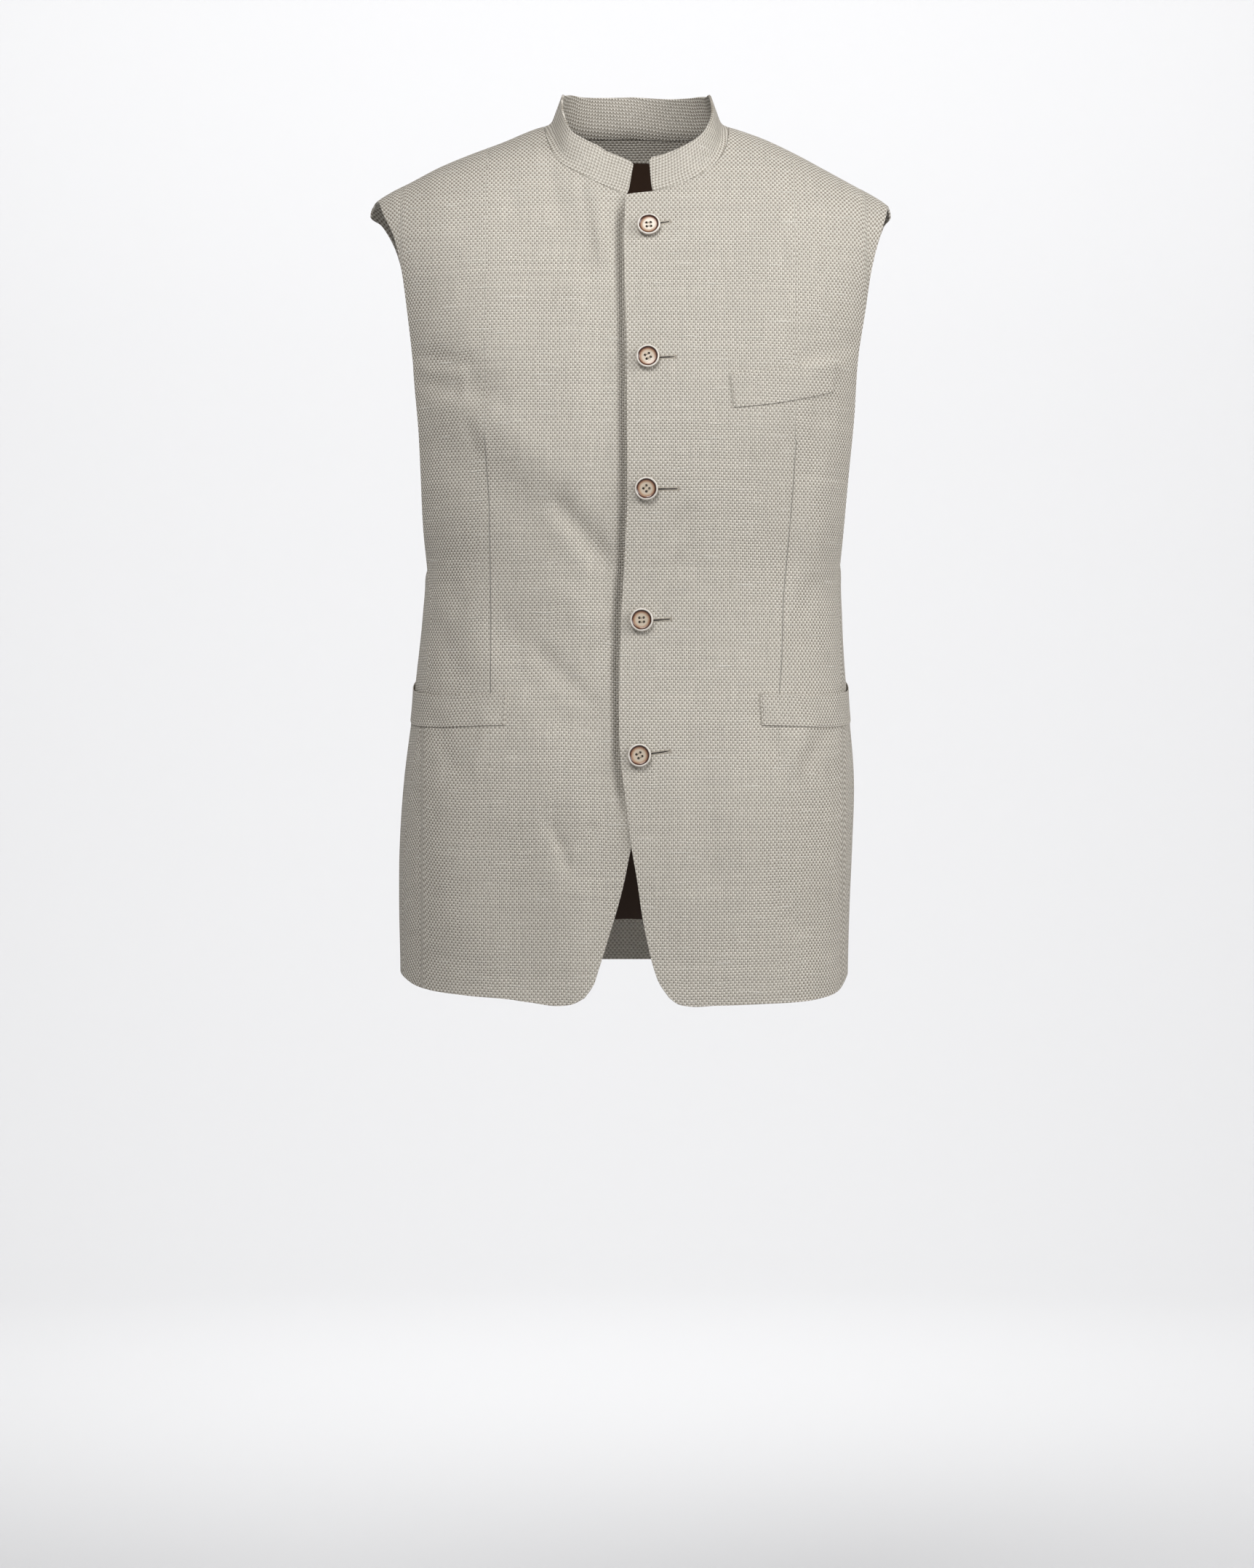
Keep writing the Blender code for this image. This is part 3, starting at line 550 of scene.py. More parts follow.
def shares(count, crowding=1.0, times=1):
    return (np.arange(count * times + 1) / (count * times)) ** crowding


# The grid's x as angles round the form, which space the columns evenly near the side, or back again
def turned(grid, toAngle):
    given, distance = grid[..., 0], grid[..., 1]
    x = given if toAngle else given * 100
    for _ in range(1 if toAngle else 8):
        width = halfWidth(x, overShoulder(x, distance)[..., 2])
        new = np.arcsin(x / width) if toAngle else np.sin(given) * width
        x = new
    return np.stack([x, distance], axis=-1)


# Grid between four edges, as [row, column, (x, distance)]
def patch(bottom, top, inner, outer):
    u = np.linspace(0, 1, len(bottom))[None, :, None]
    v = np.linspace(0, 1, len(inner))[:, None, None]
    ends = (1 - v) * bottom[None] + v * top[None] + (1 - u) * inner[:, None] + u * outer[:, None]
    low, high = ((1 - u) * run[0] + u * run[-1] for run in (bottom, top))
    corners = (1 - v) * low + v * high
    return ends - corners


# The solid's own grid: the top has neck corners at the given columns
def fill(cornersAt, *boundaries):
    edges = (turned(run, toAngle=True) for run in boundaries)
    return turned(settle(patch(*edges), cornersAt), toAngle=False)


# The same grid many times finer, with its edges true to their curves
def fineGrid(cornersAt, boundaries, times):
    coarse = fill(cornersAt, *boundaries(1))
    row, column = (np.arange((count - 1) * times + 1) / times for count in coarse.shape[:2])
    low, left = np.minimum(row.astype(int), len(coarse) - 2), np.minimum(column.astype(int), coarse.shape[1] - 2)
    up, across = (row - low)[:, None, None], (column - left)[None, :, None]
    under = coarse[low][:, left] * (1 - across) + coarse[low][:, left + 1] * across
    over = coarse[low + 1][:, left] * (1 - across) + coarse[low + 1][:, left + 1] * across
    grid = under * (1 - up) + over * up
    bottom, top, inner, outer = boundaries(times)
    return grid + patch(bottom - grid[0], top - grid[-1], inner - grid[:, 0], outer - grid[:, -1])


# Evens out the grid inside its boundary without letting its lines cross
def settle(grid, cornersAt):
    grid = grid * (settlingWidth, 1)
    row, column = np.mgrid[1 : len(grid) - 1, 1 : grid.shape[1] - 1]
    near = sum(np.exp(-(((column - corner) / neckPullColumns) ** 2)) for corner in cornersAt)
    pull = (neckPull * near * np.exp((row - len(grid) + 2) / neckPullRows))[..., None]
    for _ in range(settlingRounds):
        across = (grid[1:-1, 2:] - grid[1:-1, :-2]) / 2
        up = (grid[2:, 1:-1] - grid[:-2, 1:-1]) / 2
        skew = (grid[2:, 2:] - grid[2:, :-2] - grid[:-2, 2:] + grid[:-2, :-2]) / 4
        a, b, c = ((p * q).sum(axis=-1, keepdims=True) for p, q in ((up, up), (across, up), (across, across)))
        rows = c * ((1 + pull) * grid[2:, 1:-1] + (1 - pull) * grid[:-2, 1:-1])
        columns = a * (grid[1:-1, 2:] + grid[1:-1, :-2])
        grid[1:-1, 1:-1] = (rows + columns - 2 * b * skew) / (2 * (a + c))
    return grid / (settlingWidth, 1)


# Runs end to end, each starting where the last one ends
def join(*runs):
    return np.concatenate([runs[0]] + [run[1:] for run in runs[1:]])


def seamShare(side, height, rows):
    return smooth(height, rows["height"], rows["left" if side > 0 else "right"])


def seamX(side, height, rows):
    return side * seamShare(side, height, rows) * halfWidth(np.full_like(height, side), height)


# Angle round the form, from its front or its back, at which a seam runs
def seamAngle(side, height, rows):
    return side * np.arcsin(seamShare(side, height, rows) ** (squareness / 2))


def rowHeights(low, high, times):
    return low + (high - low) * shares(rowsBelow, cornerCrowding, times)


def sideEnd(side, column):
    return sideEndsTable[column][int(side > 0)]


# Side seam from the hem to the armpit, then the armhole edge up to the shoulder seam
def outerBoundary(side, back, times):
    where = "back" if back else "front"
    sign = -1 if back else 1
    tip = {name: column[int(side > 0)] for name, column in shoulderTipTable.items()}
    heights = rowHeights(sideEnd(side, "hem" + where.title()), sideEnd(side, "arm" + where.title()), times)
    x = seamX(side, heights, backSeamTable if back else frontSeamTable)
    below = distanceFor(x, heights, back)
    x = x - side * halfGap(overShoulder, x, below)
    seam = np.stack([x, distanceFor(x, heights, back)], axis=-1)
    edgeX = armholeTable[where + ("Left" if side > 0 else "Right")]
    edge = np.stack([edgeX, distanceFor(edgeX, armholeTable["height"], back)], axis=-1)
    end = -seamBehind + sign * halfGap(overShoulder, tip["seamX"], -seamBehind, alongB=True)
    middle = -2.0 * seamBehind if back else 0.0
    knots = np.concatenate([seam[-1:], edge, [[tip[where + "X"], middle], [tip["seamX"], end]]])
    return join(seam, resample(knots[:, 0], knots[:, 1], shares(rowsAbove, times=times)))


# Where the neckline meets the shoulder seam
def neckCorner(side, back):
    x = neckCornerX[side]
    gap = halfGap(overShoulder, x, -seamBehind, alongB=True)
    return np.array([x, -seamBehind + (-gap if back else gap)])


# Edges of a front panel: hem, top, front edge and side, from the hem up and from the front edge outwards
def frontBoundaries(side, times):
    edge = leftEdgeTable if side > 0 else rightEdgeTable
    hem = leftHemTable if side > 0 else rightHemTable
    neck = leftNeckTable if side > 0 else rightNeckTable
    outer = outerBoundary(side, False, times)
    corner = neckCorner(side, back=False)
    edgeDistance = distanceFor(edge["x"], edge["height"])
    split = int(np.argmin(np.abs(edge["height"] - sideEnd(side, "armFront"))))
    inner = join(
        resample(edge["x"][: split + 1], edgeDistance[: split + 1], shares(rowsBelow, cornerCrowding, times)),
        resample(edge["x"][split:], edgeDistance[split:], shares(rowsAbove, times=times)),
    )
    hemX = np.append(hem["x"], outer[0, 0])
    hemDistance = np.append(distanceFor(hem["x"], hem["height"]), outer[0, 1])
    bottom = resample(hemX, hemDistance, shares(frontColumns, cornerCrowding, times))
    neckX = np.append(neck["x"], corner[0])
    neckDistance = np.append(distanceFor(neck["x"], neck["height"]), corner[1])
    start = np.array([inner[-1], [neckX[0], neckDistance[0]]])
    placket = resample(start[:, 0], start[:, 1], shares(placketColumns, times=times))
    neckline = resample(neckX, neckDistance, shares(neckColumns, times=times))
    top = join(placket, neckline, shoulderSeam(side, False, times))
    return bottom, top, inner, outer


# Shoulder seam from the neck to the tip
def shoulderSeam(side, back, times):
    sign = -1 if back else 1
    tip = shoulderTipTable["seamX"][int(side > 0)]
    x = np.linspace(neckCornerX[side], tip, shoulderColumns * times + 1)
    gap = halfGap(overShoulder, x, np.full_like(x, -seamBehind), alongB=True)
    return np.stack([x, -seamBehind + sign * gap], axis=-1)


# Edges of the back panel, from the wearer's right to the left
def backBoundaries(times):
    right, left = outerBoundary(-1, True, times), outerBoundary(1, True, times)
    napeX = np.concatenate([[neckCornerX[-1]], napeTable["x"], [neckCornerX[1]]])
    napeDistance = np.concatenate([[neckCorner(-1, True)[1]], -napeTable["behind"], [neckCorner(1, True)[1]]])
    nape = resample(napeX, napeDistance, shares(napeColumns, times=times))
    top = join(shoulderSeam(-1, True, times)[::-1], nape, shoulderSeam(1, True, times))
    hemX = np.linspace(right[0, 0], left[0, 0], len(top))
    height = np.interp(hemX, hemX[[0, -1]], [sideEnd(-1, "hemBack"), sideEnd(1, "hemBack")])
    bottom = np.stack([hemX, distanceFor(hemX, height, back=True)], axis=-1)
    return bottom, top, right, left


# Angles and heights of a side panel, columns from the front seam to the back seam
def sideGrid(side, times):
    hem = [sideEnd(side, "hem" + end) for end in ("Front", "Middle", "Back")]
    arm = [sideEnd(side, "arm" + end) for end in ("Front", "Middle", "Back")]
    u = np.linspace(0, 1, sideColumns * times + 1)
    at = np.array([0, 0.5, 1])
    low, high = smooth(u, at, np.array(hem)), smooth(u, at, np.array(arm))
    heights = low + (high - low) * shares(rowsBelow, cornerCrowding, times)[:, None]
    start = seamAngle(side, heights[:, 0], frontSeamTable)
    end = side * math.pi - seamAngle(side, heights[:, -1], backSeamTable)
    start = start + side * halfGap(roundSide, start, heights[:, 0])
    end = end - side * halfGap(roundSide, end, heights[:, -1])
    angles = start[:, None] + (end - start)[:, None] * u
    return angles, heights


# The wearer's right front lies under the left one near its edge
def overlapLift(x):
    return -(clothWall + overlapGap) * ease((x - overlapFrom) / overlapSlope)


def frontPoint(x, height):
    return overShoulder(x, distanceFor(x, height))


# The neckline's points and normals from the right collar end round the nape to the left one
def neckPath(right, left, back, times):
    first, last = placketColumns * times, (placketColumns + neckColumns) * times
    nape = slice(shoulderColumns * times + 1, (shoulderColumns + napeColumns) * times)
    runs = (right[-1, first : last + 1], back[-1, nape], left[-1, first : last + 1][::-1])
    place = np.concatenate(runs)
    points = overShoulder(place[:, 0], place[:, 1])
    normals = normalsOf(overShoulder, place[:, 0], place[:, 1])
    under = np.zeros(len(place))
    ends = slice(0, neckColumns * times + 1)
    under[ends] = overlapLift(place[ends, 0])
    return points + normals * under[:, None], normals


def unit(vectors):
    return vectors / np.linalg.norm(vectors, axis=-1, keepdims=True)


# Stand collar: a band that leaves the neckline in line with the cloth and turns upright
def collarSection(points, normals):
    along = unit(np.gradient(points, axis=0))
    leaving = np.cross(along, normals)
    leaving *= np.sign(leaving[:, 2:])
    up = np.array((0.0, 0.0, 1.0))
    inward = unit(np.cross(up, along) * (1, 1, 0))
    inward *= -np.sign((inward * points)[:, :2].sum(axis=1, keepdims=True))
    turn = np.abs(np.arctan2(points[:, 0] - bandMiddleX, -points[:, 1])) / math.pi
    lean = np.radians(smooth(turn, bandTable["turn"], bandTable["lean"]))[:, None]
    height = smooth(turn, bandTable["turn"], bandTable["height"])[:, None]
    height[0] -= bandCornerRight
    height[-1] -= bandCornerLeft
    upright = inward * np.cos(lean) + up * np.sin(lean)
    upright = unit(upright - bandSquare * along * (upright * along).sum(axis=1, keepdims=True))
    place = points + leaving * seamGap
    outer, facing = [place], [normals]
    for low, high in zip(bandLevels[:-1], bandLevels[1:]):
        blend = ease((low + high) / 2 / bandTurn)
        direction = unit(leaving * (1 - blend) + upright * blend)
        place = place + direction * height * (high - low)
        outward = np.cross(unit(np.gradient(place, axis=0)), direction)
        outward *= np.sign((outward * normals).sum(axis=1, keepdims=True))
        outer.append(place)
        facing.append(unit(outward))
    outer, facing = np.array(outer), np.array(facing)
    return outer, outer - facing * collarWall


# Helpers for meshes and node trees
def addNode(tree, kind, settings=None, inputs=None):
    node = tree.nodes.new(kind)
    for name, value in (settings or {}).items():
        setattr(node, name, value)
    for name, value in (inputs or {}).items():
        if isinstance(value, bpy.types.NodeSocket):
            tree.links.new(value, node.inputs[name])
        else:
            node.inputs[name].default_value = value
    return node


def linear(hexColour):
    channels = [int(hexColour[i : i + 2], 16) / 255 for i in (1, 3, 5)]
    return (*[c / 12.92 if c <= 0.04045 else ((c + 0.055) / 1.055) ** 2.4 for c in channels], 1)


def dress(obj, slot, *nodes):
    bpy.context.scene.collection.objects.link(obj)
    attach(obj, "root")
    if nodes:
        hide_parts(*nodes)
    return obj


# Closed shell between two grids of points, with its weave map in mm, each point's distance to a dart, and how
# far the cloth there has turned round the body
def clothShell(name, outer, inner, weaveMap, dart=None, facing=None):
    rows, columns = outer.shape[:2]
    count = rows * columns
    index = np.arange(count).reshape(rows, columns)
    corners = [index[:-1, :-1], index[:-1, 1:], index[1:, 1:], index[1:, :-1]]
    sheet = np.stack(corners, axis=-1).reshape(-1, 4)
    ring = np.concatenate([index[0, :-1], index[:-1, -1], index[-1, :0:-1], index[:0:-1, 0]])
    after = np.roll(ring, -1)
    rim = np.stack([ring, ring + count, after + count, after], axis=-1)
    faces = np.concatenate([sheet, sheet[:, ::-1] + count, rim])
    points = np.concatenate([outer.reshape(-1, 3), inner.reshape(-1, 3)]) * mm
    first = points[faces[len(sheet) // 2]]
    turn = np.dot(np.cross(first[1] - first[0], first[3] - first[0]), (outer - inner)[rows // 2, columns // 2])
    if turn < 0:
        faces = faces[:, ::-1]
    mesh = bpy.data.meshes.new(name)
    mesh.from_pydata(points.tolist(), [], faces.tolist())
    weave = mesh.uv_layers.new(name="weave")
    places = np.concatenate([weaveMap.reshape(-1, 2)] * 2)
    weave.data.foreach_set("uv", places[faces.reshape(-1)].reshape(-1).astype(np.float32))
    distance = np.full(rows * columns, 50.0) if dart is None else dart.reshape(-1)
    out = (outer - inner).reshape(-1, 3)
    turned = 1 - np.abs(out[:, 1]) / np.linalg.norm(out, axis=-1)
    for layer, values in (("dart", np.concatenate([distance, np.full(count, 50.0)])), ("turned", np.tile(turned, 2))):
        mesh.attributes.new(layer, "FLOAT", "POINT").data.foreach_set("value", values.astype(np.float32))
    lined = np.ones((rows - 1, columns - 1), int) if facing is None else 1 - facing[:-1, :-1].astype(int)
    slots = np.concatenate([np.zeros(len(sheet), int), lined.reshape(-1), np.zeros(len(rim), int)])
    mesh.materials.append(faceCloth)
    mesh.materials.append(lining)
    mesh.polygons.foreach_set("material_index", slots.astype(np.int32))
    mesh.shade_smooth()
    mesh.set_sharp_from_angle(angle=math.radians(55))
    obj = bpy.data.objects.new(name + "_cloth", mesh)
    edge = obj.modifiers.new("turned edge", "BEVEL")
    edge.width, edge.segments, edge.angle_limit = clothLook["edgeRound"] * mm, 2, math.radians(55)
    edge.use_clamp_overlap = True
    return obj


# Weave and lining
clothLook = {
    "pale": "#DFD9CE",  # warp floats
    "dark": "#978E80",  # weft floats
    "slub": "#E9E5DC",
    "floatWidth": 1.825,  # mm, across and up: the basket's squares as counted in the photo
    "floatHeight": 2.185,
    "depth": 0.66,
    # painted shade: how much darker the weft squares are drawn where the cloth turns away from the front
    "sideShadeGain": 1.1,
    "waver": 0.9,  # mm, how far yarns stray
    "relief": 0.85,
    "yarnHeight": 0.7,
    "edgeRound": 0.6,
    "dartWidth": 0.55,
    "dartShift": 0.95,
    # painted shade: the cloth is drawn darker along a dart's sewn groove
    "dartShade": -0.34,  # how much darker the sewn line of a dart is
    "dartDip": 1.6,
    "weftFrom": -0.3,  # where a pale float gives way to a dark one
    "weftTo": 0.55,
    "slubShare": 0.5,
    "slubFrom": 0.64,  # only the highest crests of the noise become slubs
    "slubTo": 0.78,
    "roughness": 0.85,
}
liningLook = {"colour": "#3A2A20", "sheen": "#6B5445", "roughness": 0.38}


def mathNode(tree, operation, first, second=0.0, third=None):
    node = addNode(tree, "ShaderNodeMath", {"operation": operation}, {0: first, 1: second})
    if third is not None:
        node.inputs[2].default_value = third
    return node.outputs[0]


# Noise drawn out along the yarns: its steps across and up the cloth are per mm
def streaks(tree, u, v, across, up, detail):
    drawn = {0: mathNode(tree, "MULTIPLY", u, across), 1: mathNode(tree, "MULTIPLY", v, up)}
    place = addNode(tree, "ShaderNodeCombineXYZ", {}, drawn)
    inputs = {"Vector": place.outputs[0], "Scale": 1.0, "Detail": detail}
    return addNode(tree, "ShaderNodeTexNoise", {}, inputs).outputs[0]


# Basket weave of wool and linen-look yarn: matt squares in a chequer, warp over weft and weft over warp,
# each a small pillow, with the odd thicker weft yarn running across
def makeFaceCloth():
    material = bpy.data.materials.new("basket weave suiting")
    material.use_nodes = True
    tree = material.node_tree
    shader = tree.nodes["Principled BSDF"]
    place = addNode(tree, "ShaderNodeUVMap", {"uv_map": "weave"}).outputs["UV"]
    across = addNode(tree, "ShaderNodeSeparateXYZ", {}, {0: place})
    dart = addNode(tree, "ShaderNodeAttribute", {"attribute_name": "dart"}).outputs["Fac"]
    beyond = mathNode(tree, "GREATER_THAN", dart, 0.0)
    waver = addNode(tree, "ShaderNodeTexNoise", {}, {"Vector": place, "Scale": 0.045, "Detail": 2.0})
    strays = addNode(tree, "ShaderNodeSeparateColor", {}, {0: waver.outputs["Color"]})
    shiftU = mathNode(tree, "MULTIPLY_ADD", beyond, clothLook["dartShift"], 0.0)
    strayU = mathNode(tree, "MULTIPLY_ADD", strays.outputs[0], clothLook["waver"] * 2, 0.0)
    strayV = mathNode(tree, "MULTIPLY_ADD", strays.outputs[1], clothLook["waver"] * 2, 0.0)
    u = mathNode(tree, "ADD", mathNode(tree, "ADD", across.outputs[0], shiftU), strayU)
    v = mathNode(tree, "ADD", across.outputs[1], strayV)
    waveU = mathNode(tree, "SINE", mathNode(tree, "MULTIPLY", u, math.pi / clothLook["floatWidth"]))
    waveV = mathNode(tree, "SINE", mathNode(tree, "MULTIPLY", v, math.pi / clothLook["floatHeight"]))
    square = mathNode(tree, "MULTIPLY", waveU, waveV)
    weft = addNode(
        tree,
        "ShaderNodeMapRange",
        {"interpolation_type": "SMOOTHSTEP"},
        {"Value": square, "From Min": clothLook["weftFrom"], "From Max": clothLook["weftTo"]},
    ).outputs[0]
    yarn = addNode(tree, "ShaderNodeTexNoise", {}, {"Vector": place, "Scale": 0.42, "Detail": 3.0}).outputs[0]
    # painted shade: the weft squares are drawn darker where the cloth turns away from the front, standing in for the
    # deeper shade that grazing light gives the weave at the sides
    turned = addNode(tree, "ShaderNodeAttribute", {"attribute_name": "turned"}).outputs["Fac"]
    sideShadedDepth = mathNode(tree, "MULTIPLY_ADD", turned, clothLook["sideShadeGain"], clothLook["depth"])
    depth = mathNode(tree, "MULTIPLY", mathNode(tree, "MULTIPLY_ADD", yarn, 1.0, 0.5), sideShadedDepth)
    shade = mathNode(tree, "MULTIPLY", weft, depth)
    pale, dark, slub = (linear(clothLook[name]) for name in ("pale", "dark", "slub"))
    mixed = addNode(tree, "ShaderNodeMix", {"data_type": "RGBA"}, {"Factor": shade, "A": pale, "B": dark})
    # single weft yarns run a little lighter or thicker across the cloth
    run = streaks(tree, u, v, 0.035, 0.46, 1.0)
    slubRange = {"Value": run, "From Min": clothLook["slubFrom"], "From Max": clothLook["slubTo"]}
    thick = addNode(tree, "ShaderNodeMapRange", {}, slubRange)
    slubAmount = mathNode(tree, "MULTIPLY", thick.outputs[0], clothLook["slubShare"])
    slubbed = addNode(
        tree,
        "ShaderNodeMix",
        {"data_type": "RGBA"},
        {"Factor": slubAmount, "A": mixed.outputs["Result"], "B": slub},
    )
    # and whole yarns differ a little in tone, warp by warp and weft by weft
    column = streaks(tree, u, v, 0.5, 0.03, 1.0)
    row = streaks(tree, u, v, 0.008, 0.22, 2.0)
    tone = mathNode(tree, "MULTIPLY_ADD", column, 0.2, 0.81)
    tone = mathNode(tree, "ADD", tone, mathNode(tree, "MULTIPLY", row, 0.18))
    # painted shade along each dart's sewn groove, beside its dip in the bump
    groove = mathNode(tree, "MULTIPLY", dart, 1 / clothLook["dartWidth"])
    groove = mathNode(tree, "MULTIPLY", mathNode(tree, "MULTIPLY", groove, groove), -1.0)
    groove = mathNode(tree, "EXPONENT", groove)
    dartGrooveShade = mathNode(tree, "MULTIPLY_ADD", groove, clothLook["dartShade"], 1.0)
    scaled = {0: slubbed.outputs["Result"], "Scale": mathNode(tree, "MULTIPLY", tone, dartGrooveShade)}
    toned = addNode(tree, "ShaderNodeVectorMath", {"operation": "SCALE"}, scaled)
    tree.links.new(toned.outputs[0], shader.inputs["Base Color"])
    pillow = mathNode(tree, "POWER", mathNode(tree, "ABSOLUTE", square), 0.6)
    height = mathNode(tree, "ADD", pillow, mathNode(tree, "MULTIPLY", thick.outputs[0], 0.5))
    height = mathNode(tree, "SUBTRACT", height, mathNode(tree, "MULTIPLY", groove, clothLook["dartDip"]))
    rise = {"Height": height, "Strength": clothLook["relief"], "Distance": clothLook["yarnHeight"] * mm}
    bump = addNode(tree, "ShaderNodeBump", {}, rise)
    tree.links.new(bump.outputs[0], shader.inputs["Normal"])
    shader.inputs["Roughness"].default_value = clothLook["roughness"]
    shader.inputs["Specular IOR Level"].default_value = 0.25
    shader.inputs["Sheen Weight"].default_value = 0.12
    shader.inputs["Sheen Roughness"].default_value = 0.5
    return material


# Woven satin lining: smooth filament floats give a soft sheen on deep brown
def makeLining():
    material = bpy.data.materials.new("brown satin lining")
    material.use_nodes = True
    tree = material.node_tree
    shader = tree.nodes["Principled BSDF"]
    place = addNode(tree, "ShaderNodeUVMap", {"uv_map": "weave"}).outputs["UV"]
    ribs = addNode(
        tree,
        "ShaderNodeTexWave",
        {"bands_direction": "DIAGONAL"},
        {"Vector": place, "Scale": 0.55, "Distortion": 1.0, "Detail": 2.0},
    ).outputs["Fac"]
    colours = {"A": linear(liningLook["colour"]), "B": linear(liningLook["sheen"])}
    share = mathNode(tree, "MULTIPLY", ribs, 0.3)
    colour = addNode(tree, "ShaderNodeMix", {"data_type": "RGBA"}, {"Factor": share, **colours})
    tree.links.new(colour.outputs["Result"], shader.inputs["Base Color"])
    bump = addNode(tree, "ShaderNodeBump", {}, {"Height": ribs, "Strength": 0.15, "Distance": 0.0002})
    tree.links.new(bump.outputs[0], shader.inputs["Normal"])
    shader.inputs["Roughness"].default_value = liningLook["roughness"]
    shader.inputs["Specular IOR Level"].default_value = 0.45
    return material


faceCloth = makeFaceCloth()
lining = makeLining()


# Weave map over the form: mm across the cloth from the middle and mm up it from armpit level. The cloth is
# eased where it bends away, so only a share of the extra length counts.
mapLook = {"step": 2.0, "rise": 4.0, "level": -240.0, "easeAcross": 0.85, "easeUp": 0.45}


def makeWeaveMap(back):
    x = np.arange(-264.0, 265.0, mapLook["step"])
    distance = np.arange(-60.0, 880.0, mapLook["rise"]) * (-1 if back else 1)
    points = overShoulder(x[None, :], distance[:, None])
    stepX, stepY, _ = np.moveaxis(np.diff(points, axis=1), -1, 0)
    width = stepX + mapLook["easeAcross"] * (np.hypot(stepX, stepY) - stepX)
    acrossCloth = np.concatenate([np.zeros((len(distance), 1)), np.cumsum(width, axis=1)], axis=1)
    acrossCloth -= acrossCloth[:, [len(x) // 2]]
    step = np.diff(points, axis=0)
    fall = np.abs(step[..., 2])
    length = fall + mapLook["easeUp"] * (np.linalg.norm(step, axis=-1) - fall)
    along = np.concatenate([np.zeros((1, len(x))), -np.cumsum(length, axis=0)])
    elsewhere = 1e3 * (distance * distance[-1] < 0)[:, None]
    level = np.argmin(np.abs(points[..., 2] - mapLook["level"]) + elsewhere, axis=0)
    columns = np.arange(len(x))
    along += points[level, columns, 2] - along[level, columns]
    return x, distance, acrossCloth, along


weaveMaps = {False: makeWeaveMap(False), True: makeWeaveMap(True)}


def clothPlace(x, distance, back):
    knotsX, knotsDistance, acrossCloth, along = weaveMaps[back]
    column = np.clip((x - knotsX[0]) / mapLook["step"], 0, len(knotsX) - 1.001)
    rowStep = knotsDistance[1] - knotsDistance[0]
    row = np.clip((distance - knotsDistance[0]) / rowStep, 0, len(knotsDistance) - 1.001)
    c, r = column.astype(int), row.astype(int)
    fc, fr = column - c, row - r
    place = []
    for values in (acrossCloth, along):
        low = values[r, c] * (1 - fc) + values[r, c + 1] * fc
        high = values[r + 1, c] * (1 - fc) + values[r + 1, c + 1] * fc
        place.append(low * (1 - fr) + high * fr)
    return np.stack(place, axis=-1)


# Panels
panelLook = {
    "times": 5,  # how much finer the panels are than the grid
    "lapDip": 8.0,
    "lapReach": 10.0,
    "frontFacing": 70.0,
    "hemTurn": 34.0,
    "armholeFacing": 4,  # columns of the fine grid
    "armholeFrom": 0.55,  # share of the rows that lies below the armhole's facing
    "neckFacing": 14,  # rows of the fine grid
}
dartLines = {
    -1: ((-123.0, -272.0), (-119.5, -327.0), (-118.5, -415.0), (-118.5, -486.0)),
    1: ((135.7, -275.0), (133.3, -313.0), (129.7, -357.0), (125.5, -403.0), (124.2, -452.0), (121.8, -486.0)),
}


# Signed distance across a dart, fading out past its ends
def dartDistance(side, points):
    line = np.array(dartLines[side])[::-1]
    height = points[..., 2]
    middle = np.interp(height, line[:, 1], line[:, 0])
    past = np.maximum(line[0, 1] - height, 0) + np.maximum(height - line[-1, 1], 0)
    off = points[..., 0] - middle
    return off + np.where(off < 0, -1, 1) * past * 0.5


# How much deeper the under front lies just beside the lapped edge
def lapShadow(x, height):
    edge = np.interp(height, leftEdgeTable["height"], leftEdgeTable["x"])
    ends = ease((-66 - height) / 22) * ease((height + 596) / 40)
    return panelLook["lapDip"] * ends * ease((x - edge + panelLook["lapReach"]) / panelLook["lapReach"])


def makeFront(name, side):
    boundaries = lambda times: frontBoundaries(side, times)
    grid = fineGrid([placketColumns + neckColumns], boundaries, panelLook["times"])
    x, distance = grid[..., 0], grid[..., 1]
    normals = normalsOf(overShoulder, x, distance)
    outer = overShoulder(x, distance)
    if side < 0:
        outer = outer + normals * (overlapLift(x) - lapShadow(x, outer[..., 2]))[..., None]
    inner = outer - normals * clothWall
    place = clothPlace(x, distance, False) + (0.7 * side, 0.4 * side)
    fromEdge = np.abs(place[..., 0] - place[:, :1, 0])
    fromHem = place[..., 1] - place[:1, :, 1]
    rows, columns = x.shape
    nearArm = np.arange(columns) > columns - panelLook["armholeFacing"]
    nearArm = nearArm & (np.arange(rows) > rows * panelLook["armholeFrom"])[:, None]
    facing = (fromEdge < panelLook["frontFacing"]) | (fromHem < panelLook["hemTurn"]) | nearArm
    obj = clothShell(name, outer, inner, place, dartDistance(side, outer), facing)
    return dress(obj, "cloth", name), grid


def makeBack():
    grid = fineGrid([shoulderColumns, shoulderColumns + napeColumns], backBoundaries, panelLook["times"])
    x, distance = grid[..., 0], grid[..., 1]
    normals = normalsOf(overShoulder, x, distance)
    outer = overShoulder(x, distance)
    place = clothPlace(x, distance, True)
    rows, columns = x.shape
    fromHem = place[..., 1] - place[:1, :, 1]
    nearArm = np.minimum(np.arange(columns), columns - 1 - np.arange(columns)) < panelLook["armholeFacing"]
    nearArm = nearArm & (np.arange(rows) > rows * panelLook["armholeFrom"])[:, None]
    nearNeck = (np.abs(x) < 90) & (np.arange(rows) > rows - panelLook["neckFacing"])[:, None]
    facing = (fromHem < panelLook["hemTurn"]) | nearArm | nearNeck
    obj = clothShell("back", outer, outer - normals * clothWall, place, facing=facing)
    return dress(obj, "cloth", "back"), grid


